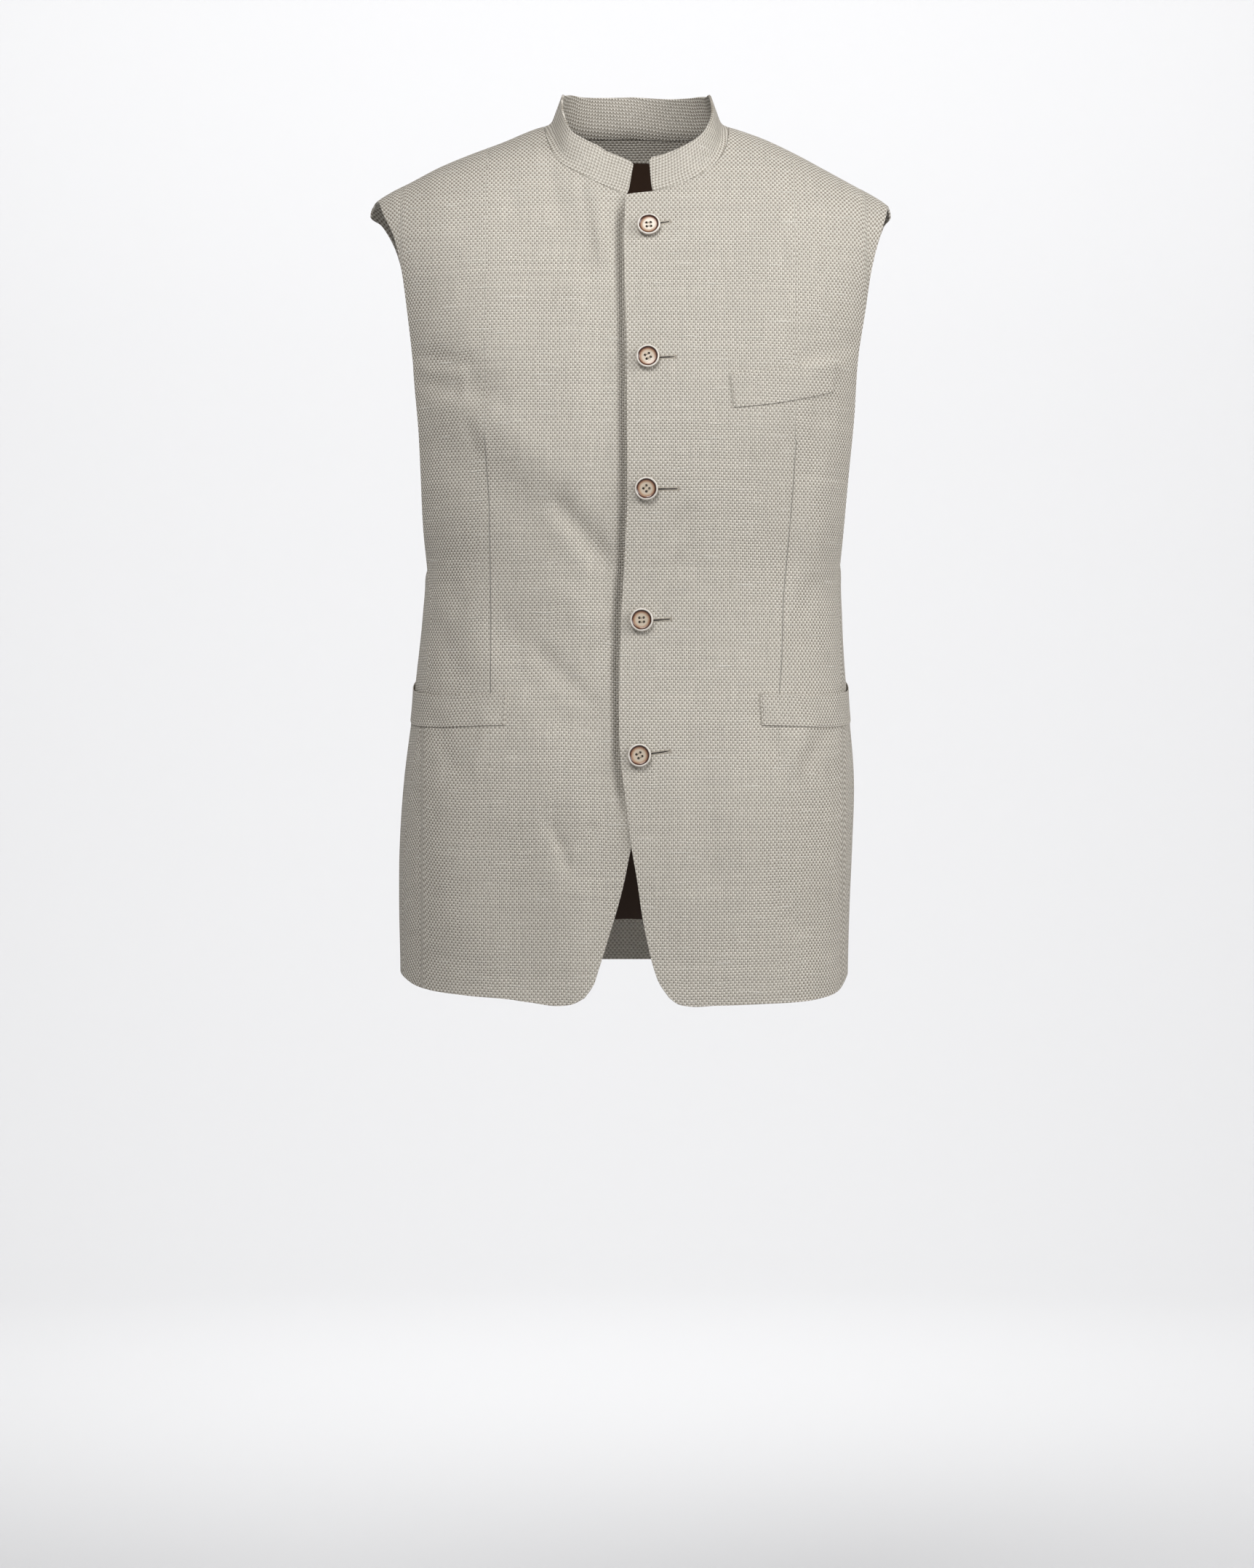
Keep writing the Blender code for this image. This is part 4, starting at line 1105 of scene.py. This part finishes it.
def makeSide(name, side):
    angles, heights = sideGrid(side, panelLook["times"])
    normals = normalsOf(roundSide, angles, heights)
    outer = roundSide(angles, heights)
    run = np.cumsum(np.linalg.norm(np.diff(outer, axis=1), axis=-1), axis=1)
    run = np.concatenate([np.zeros((len(run), 1)), run], axis=1)
    place = np.stack([side * run, heights], axis=-1)
    facing = heights - heights[:1] < panelLook["hemTurn"]
    obj = clothShell(name, outer, outer - normals * clothWall, place, facing=facing)
    return dress(obj, "cloth", name)


print("cutting the fronts, back and sides")
frontRight, rightGrid = makeFront("front_right", -1)
frontLeft, leftGrid = makeFront("front_left", 1)
backPanel, backParameters = makeBack()
sideRight, sideLeft = makeSide("side_right", -1), makeSide("side_left", 1)

# Collar
print("setting the collar")
outer, inner = collarSection(*neckPath(rightGrid, leftGrid, backParameters, panelLook["times"]))
run = np.concatenate([[0], np.cumsum(np.linalg.norm(np.diff(outer[len(outer) // 2], axis=0), axis=-1))])
climb = np.cumsum(np.linalg.norm(np.diff(outer, axis=0), axis=-1), axis=0)
rise = np.concatenate([np.zeros((1, outer.shape[1])), climb])
place = np.stack([run + rise, rise - run], axis=-1) / math.sqrt(2)  # cut on the bias
collarBand = clothShell("collar", outer, inner, place, facing=np.ones(rise.shape, bool))
dress(collarBand, "cloth", "collar")

# Pocket welts: each lies on its panel, made from the panel's own points moved out
print("laying the welts")
weltLook = {"columns": 72, "rows": 18}
up = np.linspace(0, 1, weltLook["rows"])[:, None]


def makeWelt(name, placeOf, a, b, lift, place):
    normals = normalsOf(placeOf, a, b)
    outer = placeOf(a, b) + normals * np.broadcast_to(lift, a.shape)[..., None]
    obj = clothShell(name, outer, outer - normals * weltWall, place, facing=np.ones(a.shape, bool))
    return dress(obj, "cloth", name)


first, last = chestWeltTable["x"][[0, -1]]
taper = chestWeltTaper * (1 - up)
x = first + taper + (last - first - 2 * taper) * np.linspace(0, 1, weltLook["columns"])
bottom, top = (smooth(x, chestWeltTable["x"], chestWeltTable[end]) for end in ("bottom", "top"))
heights = bottom + (top - bottom) * up
place = clothPlace(x, distanceFor(x, heights), False) + (0.9, 1.1)
chestWelt = makeWelt("chest_welt", frontPoint, x, heights, layGap + weltWall, place)
for name, side in (("hip_welt_right", -1), ("hip_welt_left", 1)):
    u = np.linspace(0, 1, weltLook["columns"])[None, :]
    bottom, top = (smooth(u, hipWeltTable["along"], hipWeltTable[end]) for end in ("bottom", "top"))
    heights = bottom + (top - bottom) * up
    start = hipWeltFrom[side]
    angles = np.broadcast_to(side * (start + (hipWeltTo - start) * u), heights.shape)
    gape = mouthGape * up**2 * ease((u - mouthFrom) / mouthSlope) * ease((mouthTo - u) / mouthSlope)
    points = roundSide(angles, heights)
    run = np.concatenate([[0], np.cumsum(np.linalg.norm(np.diff(points[0], axis=0), axis=-1))])
    place = np.stack([side * np.broadcast_to(run, heights.shape), heights - bottom], axis=-1)
    makeWelt(name, roundSide, angles, heights, layGap + weltWall + gape, place)

# Buttons: turned resin with a horn look, a pale rim round a dish that is burnt dark at its wall
print("turning the buttons")
buttonLook = {
    "rim": "#E4DED4",
    "burnt": "#45281B",
    "brown": "#8B5F48",
    "tan": "#BFA084",
    "cream": "#D2C3AF",
    # the rim's outer wall: partly its own darker tone, partly painted shade
    "rimWallToneAndShade": "#A89C90",
    "holeRadius": 1.05,
    "holeOffset": 1.75,
    "gap": 0.3,
    "segments": 72,
    # painted shade on the walls of the drilled holes
    "drilled": "#2A201B",
    "threadRadius": 0.12,
    "strandApart": 0.14,
    "threadHeight": 2.9,
    "threadBow": 0.35,
    "threadDive": 1.4,  # how far a bar's ends go down its holes
    "threadSteps": 12,
    "threadSides": 8,
}
buttonShape = table(
    "radius height",
    (0.0, 0.0),
    (3.2, 0.0),
    (4.0, 0.9),
    (7.0, 1.2),
    (8.6, 1.5),
    (9.5, 2.1),
    (9.8, 2.75),
    (9.7, 3.5),
    (9.4, 3.98),
    (9.0, 4.27),
    (8.6, 4.33),
    (8.2, 4.1),
    (7.8, 3.62),
    (7.25, 3.12),
    (6.4, 2.86),
    (4.0, 2.8),
    (0.0, 2.8),
)


def makeResin():
    material = bpy.data.materials.new("polished horn-look resin")
    material.use_nodes = True
    tree = material.node_tree
    shader = tree.nodes["Principled BSDF"]
    place = addNode(tree, "ShaderNodeUVMap", {"uv_map": "button"}).outputs["UV"]
    radius = addNode(tree, "ShaderNodeVectorMath", {"operation": "LENGTH"}, {0: place}).outputs["Value"]
    cloud = addNode(tree, "ShaderNodeTexNoise", {}, {"Vector": place, "Scale": 0.22, "Detail": 3.0}).outputs[0]
    strayed = mathNode(tree, "ADD", radius, mathNode(tree, "MULTIPLY_ADD", cloud, 0.7, -0.35))
    share = mathNode(tree, "MULTIPLY", strayed, 0.1)
    ramp = addNode(tree, "ShaderNodeValToRGB", {}, {0: share})
    stops = (
        (0.0, "cream"),
        (0.45, "cream"),
        (0.585, "tan"),
        (0.68, "brown"),
        (0.735, "burnt"),
        (0.805, "burnt"),
        (0.84, "rim"),
        (0.935, "rim"),
        # outer wall of the rim: its own tone and painted shade
        (0.97, "rimWallToneAndShade"),
    )
    while len(ramp.color_ramp.elements) < len(stops):
        ramp.color_ramp.elements.new(0.5)
    for element, (position, name) in zip(ramp.color_ramp.elements, stops):
        element.position, element.color = position, linear(buttonLook[name])
    tree.links.new(ramp.outputs[0], shader.inputs["Base Color"])
    grain = addNode(tree, "ShaderNodeTexNoise", {}, {"Vector": place, "Scale": 1.4, "Detail": 2.0}).outputs[0]
    bump = addNode(tree, "ShaderNodeBump", {}, {"Height": grain, "Strength": 0.06, "Distance": 0.0002})
    tree.links.new(bump.outputs[0], shader.inputs["Normal"])
    shader.inputs["Roughness"].default_value = 0.28
    shader.inputs["IOR"].default_value = 1.5
    shader.inputs["Coat Weight"].default_value = 0.35
    shader.inputs["Coat Roughness"].default_value = 0.12
    return material


# Spun polyester thread: a soft twisted yarn with little shine
def makeThread(name, colour):
    material = bpy.data.materials.new(name)
    material.use_nodes = True
    tree = material.node_tree
    shader = tree.nodes["Principled BSDF"]
    place = addNode(tree, "ShaderNodeTexCoord").outputs["Object"]
    fuzz = addNode(tree, "ShaderNodeTexNoise", {}, {"Vector": place, "Scale": 1400.0, "Detail": 2.0}).outputs[0]
    light = tuple(min(1, 1.25 * c) for c in linear(colour)[:3]) + (1,)
    dark = tuple(0.7 * c for c in linear(colour)[:3]) + (1,)
    mixed = addNode(tree, "ShaderNodeMix", {"data_type": "RGBA"}, {"Factor": fuzz, "A": dark, "B": light})
    tree.links.new(mixed.outputs["Result"], shader.inputs["Base Color"])
    shader.inputs["Roughness"].default_value = 0.7
    return material


# Painted shade for the walls of the drilled holes: a matt dark brown standing in for the shadow inside them
def makePaintedHoleShade():
    material = bpy.data.materials.new("painted shade in the drilled holes")
    material.use_nodes = True
    shader = material.node_tree.nodes["Principled BSDF"]
    shader.inputs["Base Color"].default_value = linear(buttonLook["drilled"])
    shader.inputs["Roughness"].default_value = 0.8
    return material


resin = makeResin()
paintedHoleShade = makePaintedHoleShade()
paleThread = makeThread("pale sewing thread", "#B4A68F")
taupeThread = makeThread("taupe buttonhole twist", "#B8AE9F")
darkThread = makeThread("dark prick-stitch thread", "#766C5F")
# painted shade: the dark slit stands in for the shadow seen in the cut buttonhole
slitShade = makeThread("painted shade of the buttonhole slit", "#2E2A27")


# Outline of (radius, height) turned once round Z
def latheMesh(outline, steps):
    bm = bmesh.new()
    verts = [bm.verts.new((radius, 0, height)) for radius, height in outline]
    for a, b in zip(verts[:-1], verts[1:]):
        bm.edges.new((a, b))
    geom = bm.verts[:] + bm.edges[:]
    turn = {"axis": (0, 0, 1), "cent": (0, 0, 0), "angle": math.tau, "use_merge": True}
    bmesh.ops.spin(bm, geom=geom, steps=steps, **turn)
    bmesh.ops.remove_doubles(bm, verts=bm.verts, dist=1e-4)
    bmesh.ops.recalc_face_normals(bm, faces=bm.faces)
    return bm


def meshFrom(bm, name):
    mesh = bpy.data.meshes.new(name)
    bm.to_mesh(mesh)
    bm.free()
    return mesh


# The button as it is turned and then drilled
def buttonBlank():
    blank = meshFrom(latheMesh(zip(*buttonShape.values()), buttonLook["segments"]), "button blank")
    bm = bmesh.new()
    for corner in range(4):
        angle = math.radians(45 + 90 * corner)
        offset = Vector((math.cos(angle), math.sin(angle), 0)) * buttonLook["holeOffset"] * math.sqrt(2)
        radius = buttonLook["holeRadius"]
        at = Matrix.Translation(offset)
        bmesh.ops.create_cone(bm, cap_ends=True, segments=20, radius1=radius, radius2=radius, depth=14, matrix=at)
    cutter = bpy.data.objects.new("button drill", meshFrom(bm, "button drill"))
    body = bpy.data.objects.new("button blank", blank)
    for obj in (cutter, body):
        bpy.context.scene.collection.objects.link(obj)
    cut = body.modifiers.new("holes", "BOOLEAN")
    cut.object, cut.operation, cut.solver = cutter, "DIFFERENCE", "EXACT"
    bevel = body.modifiers.new("hole edges", "BEVEL")
    bevel.width, bevel.segments, bevel.angle_limit = 0.14, 2, math.radians(60)
    bpy.context.view_layer.update()
    drilled = bpy.data.meshes.new_from_object(body.evaluated_get(bpy.context.evaluated_depsgraph_get()))
    for obj in (cutter, body):
        bpy.data.objects.remove(obj)
    return drilled


# Skins a tube over rings of vertices and closes its ends
def skinTube(bm, rings):
    sides = len(rings[0])
    for low, high in zip(rings[:-1], rings[1:]):
        for k in range(sides):
            after = (k + 1) % sides
            bm.faces.new((low[k], low[after], high[after], high[k]))
    bm.faces.new(rings[0][::-1])
    bm.faces.new(rings[-1])


# Height of a bar of thread over the dish, at t from -1 to 1 along it
def threadHeight(t):
    return buttonLook["threadHeight"] + buttonLook["threadBow"] * (1 - t**4) - buttonLook["threadDive"] * t**6


# Bars of thread between the holes, bowed up over the dish
def threadBars(name, frameOf):
    bm = bmesh.new()
    reach, radius = buttonLook["holeOffset"], buttonLook["threadRadius"]
    apart, steps, sides = (buttonLook[key] for key in ("strandApart", "threadSteps", "threadSides"))
    for across in (-reach + -apart, -reach + apart, reach + -apart, reach + apart):
        rings = []
        for step in range(steps + 1):
            t = step / steps * 2 - 1
            middle = Vector((t * reach, across, threadHeight(t)))
            turns = [math.tau * k / sides for k in range(sides)]
            ring = [middle + Vector((0, math.cos(turn), math.sin(turn))) * radius for turn in turns]
            rings.append([bm.verts.new(point) for point in ring])
        skinTube(bm, rings)
    bmesh.ops.recalc_face_normals(bm, faces=bm.faces)
    mesh = meshFrom(bm, name)
    mesh.transform(frameOf)
    mesh.materials.append(paleThread)
    mesh.shade_smooth()
    return bpy.data.objects.new(name, mesh)


blank = buttonBlank()
for number, (x, height, turn) in enumerate(zip(*buttonTable.values()), start=1):
    at = np.array([x]), np.array([height])
    point, normal = frontPoint(*at)[0], normalsOf(frontPoint, *at)[0]
    seat = Matrix.Translation(Vector((point + normal * buttonLook["gap"]) * mm))
    facing = Vector(normal).to_track_quat("Z", "Y").to_matrix().to_4x4()
    frameOf = seat @ facing @ Matrix.Rotation(math.radians(turn), 4, "Z") @ Matrix.Scale(mm, 4)
    mesh = blank.copy()
    local = np.zeros(len(mesh.vertices) * 3, np.float32)
    mesh.vertices.foreach_get("co", local)
    loops = np.zeros(len(mesh.loops), np.int32)
    mesh.loops.foreach_get("vertex_index", loops)
    layer = mesh.uv_layers.new(name="button")
    layer.data.foreach_set("uv", local.reshape(-1, 3)[loops, :2].reshape(-1))
    mesh.materials.clear()
    for material in (resin, paintedHoleShade):
        mesh.materials.append(material)
    # the walls of the drilled holes take the painted shade
    for face in mesh.polygons:
        inHole = face.center.xy.length < 2 * buttonLook["holeOffset"] and abs(face.normal.z) < 0.5
        face.material_index = 1 if inHole else 0
    mesh.transform(frameOf)
    mesh.shade_smooth()
    mesh.set_sharp_from_angle(angle=math.radians(40))
    dress(bpy.data.objects.new(f"button_{number}_turned", mesh), "buttons", f"button_{number}")
    dress(threadBars(f"button_thread_{number}", frameOf), "buttons")

# Sewing: one node tree lays bowed stitches along a line on the cloth
print("sewing the buttonholes and prick stitches")
stitchLook = {
    "buttonhole": {"Pitch": 0.62, "Length": 1.25, "Thickness": 0.36, "Turn": math.pi / 2, "Jitter": 0.1, "Seed": 3},
    "bar": {"Pitch": 0.55, "Length": 1.2, "Thickness": 0.36, "Turn": math.pi / 2, "Jitter": 0.08, "Seed": 5},
    "prick": {"Pitch": 3.1, "Length": 1.1, "Thickness": 0.34, "Turn": 0.0, "Jitter": 0.15, "Seed": 7},
}


def makeStitchTree():
    tree = bpy.data.node_groups.new("stitches along a line", "GeometryNodeTree")
    tree.interface.new_socket("Line", in_out="INPUT", socket_type="NodeSocketGeometry")
    for name in ("Pitch", "Length", "Thickness", "Turn", "Jitter"):
        tree.interface.new_socket(name, in_out="INPUT", socket_type="NodeSocketFloat")
    tree.interface.new_socket("Seed", in_out="INPUT", socket_type="NodeSocketInt")
    tree.interface.new_socket("Thread", in_out="INPUT", socket_type="NodeSocketMaterial")
    tree.interface.new_socket("Stitches", in_out="OUTPUT", socket_type="NodeSocketGeometry")
    given = addNode(tree, "NodeGroupInput").outputs
    curve = addNode(tree, "GeometryNodeMeshToCurve", {}, {"Mesh": given["Line"]}).outputs[0]
    spaced = addNode(tree, "GeometryNodeResampleCurve", {"mode": "LENGTH"}, {"Curve": curve, "Length": given["Pitch"]})
    half = mathNode(tree, "MULTIPLY", given["Length"], 0.5)
    before = mathNode(tree, "MULTIPLY", half, -1.0)
    sunk = mathNode(tree, "MULTIPLY", given["Thickness"], -0.5)
    start = addNode(tree, "ShaderNodeCombineXYZ", {}, {0: before, 2: sunk})
    end = addNode(tree, "ShaderNodeCombineXYZ", {}, {0: half, 2: sunk})
    top = addNode(tree, "ShaderNodeCombineXYZ", {}, {2: given["Thickness"]})
    ends = {"Start": start.outputs[0], "Middle": top.outputs[0], "End": end.outputs[0]}
    bow = addNode(tree, "GeometryNodeCurveQuadraticBezier", {}, {"Resolution": 4, **ends})
    radius = mathNode(tree, "MULTIPLY", given["Thickness"], 0.5)
    section = addNode(tree, "GeometryNodeCurvePrimitiveCircle", {}, {"Resolution": 6, "Radius": radius})
    swept = {"Curve": bow.outputs[0], "Profile Curve": section.outputs[0], "Fill Caps": True}
    stitch = addNode(tree, "GeometryNodeCurveToMesh", {}, swept)
    vector = {"data_type": "FLOAT_VECTOR"}
    normal = addNode(tree, "GeometryNodeInputNamedAttribute", vector, {"Name": "out"}).outputs[0]
    tangent = addNode(tree, "GeometryNodeInputTangent").outputs[0]
    level = addNode(tree, "FunctionNodeAlignRotationToVector", {"axis": "Z"}, {"Vector": normal}).outputs[0]
    pivot = {"axis": "X", "pivot_axis": "Z"}
    facing = addNode(tree, "FunctionNodeAlignRotationToVector", pivot, {"Rotation": level, "Vector": tangent})
    stray = addNode(tree, "FunctionNodeRandomValue", {"data_type": "FLOAT"}, {"Seed": given["Seed"]})
    for socket, value in zip((s for s in stray.inputs if s.type == "VALUE" and s.enabled), (-1.0, 1.0)):
        socket.default_value = value
    random = next(s for s in stray.outputs if s.enabled)
    twist = mathNode(tree, "MULTIPLY", random, given["Jitter"])
    turn = addNode(tree, "ShaderNodeCombineXYZ", {}, {2: mathNode(tree, "ADD", given["Turn"], twist)})
    local = addNode(tree, "FunctionNodeEulerToRotation", {}, {0: turn.outputs[0]})
    both = {0: facing.outputs[0], 1: local.outputs[0]}
    turned = addNode(tree, "FunctionNodeRotateRotation", {"rotation_space": "LOCAL"}, both)
    seat = {"Points": spaced.outputs[0], "Instance": stitch.outputs[0], "Rotation": turned.outputs[0]}
    laid = addNode(tree, "GeometryNodeInstanceOnPoints", {}, seat)
    real = addNode(tree, "GeometryNodeRealizeInstances", {}, {0: laid.outputs[0]})
    smoothed = addNode(tree, "GeometryNodeSetShadeSmooth", {}, {0: real.outputs[0]})
    covered = {"Geometry": smoothed.outputs[0], "Material": given["Thread"]}
    finished = addNode(tree, "GeometryNodeSetMaterial", {}, covered)
    result = addNode(tree, "NodeGroupOutput")
    tree.links.new(finished.outputs[0], result.inputs["Stitches"])
    return tree


stitchTree = makeStitchTree()


# Rows of stitches along lines given as (points, outward directions), in mm
def sew(name, lines, look, thread):
    points, edges, out = [], [], []
    for line, normals in lines:
        base = len(points)
        points += [tuple(p * mm) for p in line]
        out += [tuple(n) for n in normals]
        edges += [(base + i, base + i + 1) for i in range(len(line) - 1)]
    mesh = bpy.data.meshes.new(name)
    mesh.from_pydata(points, edges, [])
    layer = mesh.attributes.new("out", "FLOAT_VECTOR", "POINT")
    layer.data.foreach_set("vector", np.array(out, np.float32).reshape(-1))
    obj = bpy.data.objects.new(name, mesh)
    bpy.context.scene.collection.objects.link(obj)
    modifier = obj.modifiers.new("stitches", "NODES")
    modifier.node_group = stitchTree
    sockets = {item.name: item.identifier for item in stitchTree.interface.items_tree if item.in_out == "INPUT"}
    for key, value in look.items():
        modifier[sockets[key]] = value * mm if key in ("Pitch", "Length", "Thickness") else value
    modifier[sockets["Thread"]] = thread
    bpy.context.view_layer.update()
    sewn = bpy.data.meshes.new_from_object(obj.evaluated_get(bpy.context.evaluated_depsgraph_get()))
    bpy.data.objects.remove(obj)
    sewn.name = name
    return bpy.data.objects.new(name, sewn)


def overFront(x, height, lift):
    normals = normalsOf(frontPoint, x, height)
    return frontPoint(x, height) + normals * lift, normals


# Buttonholes: a slit beside each button, worked round with stitches and closed by a bar
holeLook = {
    "hidden": 4.0,  # length of the slit under the button
    "borderAway": 0.95,
    "barHalf": 1.7,
    "barPast": 1.0,
    "lift": 0.12,
    "borderLift": 0.06,
    "widthEnd": 0.2,  # half-widths of the slit
    "widthMore": 0.55,
    "fray": 0.08,
    "depth": 0.25,
}
buttonholes = (
    ((21.9, -91.7), (30.6, -89.2)),
    ((22.6, -205.8), (34.8, -205.2)),
    ((21.6, -315.0), (37.0, -314.6)),
    ((18.1, -423.4), (31.0, -422.0)),
    ((15.6, -534.2), (30.2, -531.4)),
)
slitLines, borderLines, barLines = [], [], []
for (x0, z0), (x1, z1) in buttonholes:
    along = np.linspace(0, 1, 16)
    lineX = x0 - holeLook["hidden"] + (x1 - x0 + holeLook["hidden"]) * along
    lineZ = z0 + (z1 - z0) * along
    length = math.hypot(x1 - x0, z1 - z0)
    offX, offZ = -(z1 - z0) / length, (x1 - x0) / length
    slitLines.append(overFront(lineX, lineZ, holeLook["lift"]))
    for away in (-holeLook["borderAway"], holeLook["borderAway"]):
        borderLines.append(overFront(lineX + away * offX, lineZ + away * offZ, holeLook["borderLift"]))
    across = np.linspace(-1, 1, 6) * holeLook["barHalf"]
    barX = x1 + holeLook["barPast"] + across * offX
    barLines.append(overFront(barX, z1 + across * offZ, holeLook["lift"]))


# Painted shade of the slits: a narrow dark leaf shape between the stitched edges, standing in for the shadow in the
# cut
def makeSlits():
    bm = bmesh.new()
    section = ((-1, 0.0), (0, holeLook["lift"]), (1, 0.0), (0, -holeLook["depth"]))
    for points, normals in slitLines:
        rings = []
        for i, (point, normal) in enumerate(zip(points, normals)):
            t = i / (len(points) - 1)
            fray = holeLook["fray"] * math.sin(9 * t + point[2])
            wide = holeLook["widthEnd"] + holeLook["widthMore"] * (1 - t) ** 0.5 + fray
            ring = [(point + normal * rise + np.array((0, 0, edge * wide))) * mm for edge, rise in section]
            rings.append([bm.verts.new(place) for place in ring])
        skinTube(bm, rings)
    bmesh.ops.recalc_face_normals(bm, faces=bm.faces)
    mesh = meshFrom(bm, "buttonhole_slits")
    mesh.materials.append(slitShade)
    return bpy.data.objects.new("buttonhole_slits", mesh)


dress(makeSlits(), "cloth")
dress(sew("buttonhole_stitches", borderLines, stitchLook["buttonhole"], taupeThread), "cloth")
dress(sew("buttonhole_bars", barLines, stitchLook["bar"], taupeThread), "cloth")

# Prick stitches hold down the inner ends of the welts
prickLines = []
rise = np.linspace(0.04, 0.96, 12)
edgeX = chestWeltTable["x"][0] + 1.3 + chestWeltTaper * (1 - rise)
low, high = chestWeltTable["bottom"][0], chestWeltTable["top"][0]
prickLines.append(overFront(edgeX, low + (high - low) * rise, layGap + weltWall + 0.1))
for side in (-1, 1):
    angle = np.full(12, side * (hipWeltFrom[side] + 0.012))
    low, high = hipWeltTable["bottom"][0], hipWeltTable["top"][0]
    height = low + (high - low) * rise
    normals = normalsOf(roundSide, angle, height)
    prickLines.append((roundSide(angle, height) + normals * (layGap + weltWall + 0.1), normals))
dress(sew("welt_prick_stitches", prickLines, stitchLook["prick"], darkThread), "cloth")
# Studio
print("setting up the studio")
studio = {
    "floorHeight": -1.42,
    "floorReach": 3.4,
    "bend": 1.8,
    "wallHeight": 6.5,
    "ground": "#C9C9CA",
    "worldStrength": 0.07,
    # name, place, aim, size, power
    "lamps": (
        ("upper softbox", (-0.45, -1.75, 1.25), (0, -0.1, -0.15), 1.1, 35.0),
        ("side softbox", (2.3, -0.85, 0.55), (0, -0.1, -0.25), 1.0, 27.5),
        ("front softbox", (1.8, -2.1, 1.1), (0, -0.1, -0.25), 1.1, 14.5),
        ("backdrop softbox", (0, 1.6, 2.0), (0, 5.0, -0.2), 2.0, 195.0),
        ("wall softbox right", (-2.2, -1.9, 2.5), (-4.2, -3.4, -0.6), 1.6, 18.0),
        ("wall softbox left", (2.2, -1.9, 2.5), (4.2, -3.4, -0.6), 1.6, 18.0),
    ),
}


# Round floor that turns up into a wall, so that the studio looks the same from every side
def makeGround():
    reach, bend, top = studio["floorReach"], studio["bend"], studio["wallHeight"]
    profile = [(0.0, 0.0), (reach, 0.0)]
    for step in range(1, 13):
        angle = math.radians(90 * step / 12)
        profile.append((reach + bend * math.sin(angle), bend * (1 - math.cos(angle))))
    profile.append((reach + bend, top))
    bm = latheMesh([(radius, rise + studio["floorHeight"]) for radius, rise in profile], 96)
    if bm.faces[0].normal.z < 0:
        bmesh.ops.reverse_faces(bm, faces=bm.faces)
    mesh = meshFrom(bm, "studio ground")
    mesh.shade_smooth()
    material = bpy.data.materials.new("matt white studio paint")
    material.use_nodes = True
    shader = material.node_tree.nodes["Principled BSDF"]
    shader.inputs["Base Color"].default_value = linear(studio["ground"])
    shader.inputs["Roughness"].default_value = 0.95
    mesh.materials.append(material)
    ground = bpy.data.objects.new("studio_ground", mesh)
    bpy.context.scene.collection.objects.link(ground)


def addLamp(name, at, target, size, power):
    lamp = bpy.data.lights.new(name, "AREA")
    lamp.shape, lamp.size, lamp.energy = "SQUARE", size, power
    obj = bpy.data.objects.new(name, lamp)
    obj.location = at
    obj.rotation_euler = (Vector(target) - Vector(at)).to_track_quat("-Z", "Y").to_euler()
    bpy.context.scene.collection.objects.link(obj)


makeGround()
for lampValues in studio["lamps"]:
    addLamp(*lampValues)
world = bpy.data.worlds.new("studio air")
bpy.context.scene.world = world
world.use_nodes = True
world.node_tree.nodes["Background"].inputs[0].default_value = (1, 1, 1, 1)
world.node_tree.nodes["Background"].inputs[1].default_value = studio["worldStrength"]
bpy.context.scene.view_settings.view_transform = "Standard"

lens = bpy.data.cameras.new("photo camera")
lens.sensor_fit, lens.sensor_height, lens.lens = "VERTICAL", 36.0, 91.84
camera = bpy.data.objects.new("photo camera", lens)
camera.location = (-0.0048, -3.425, -0.5586)
camera.rotation_euler = (math.radians(90), 0, 0)
bpy.context.scene.collection.objects.link(camera)
bpy.context.scene.camera = camera
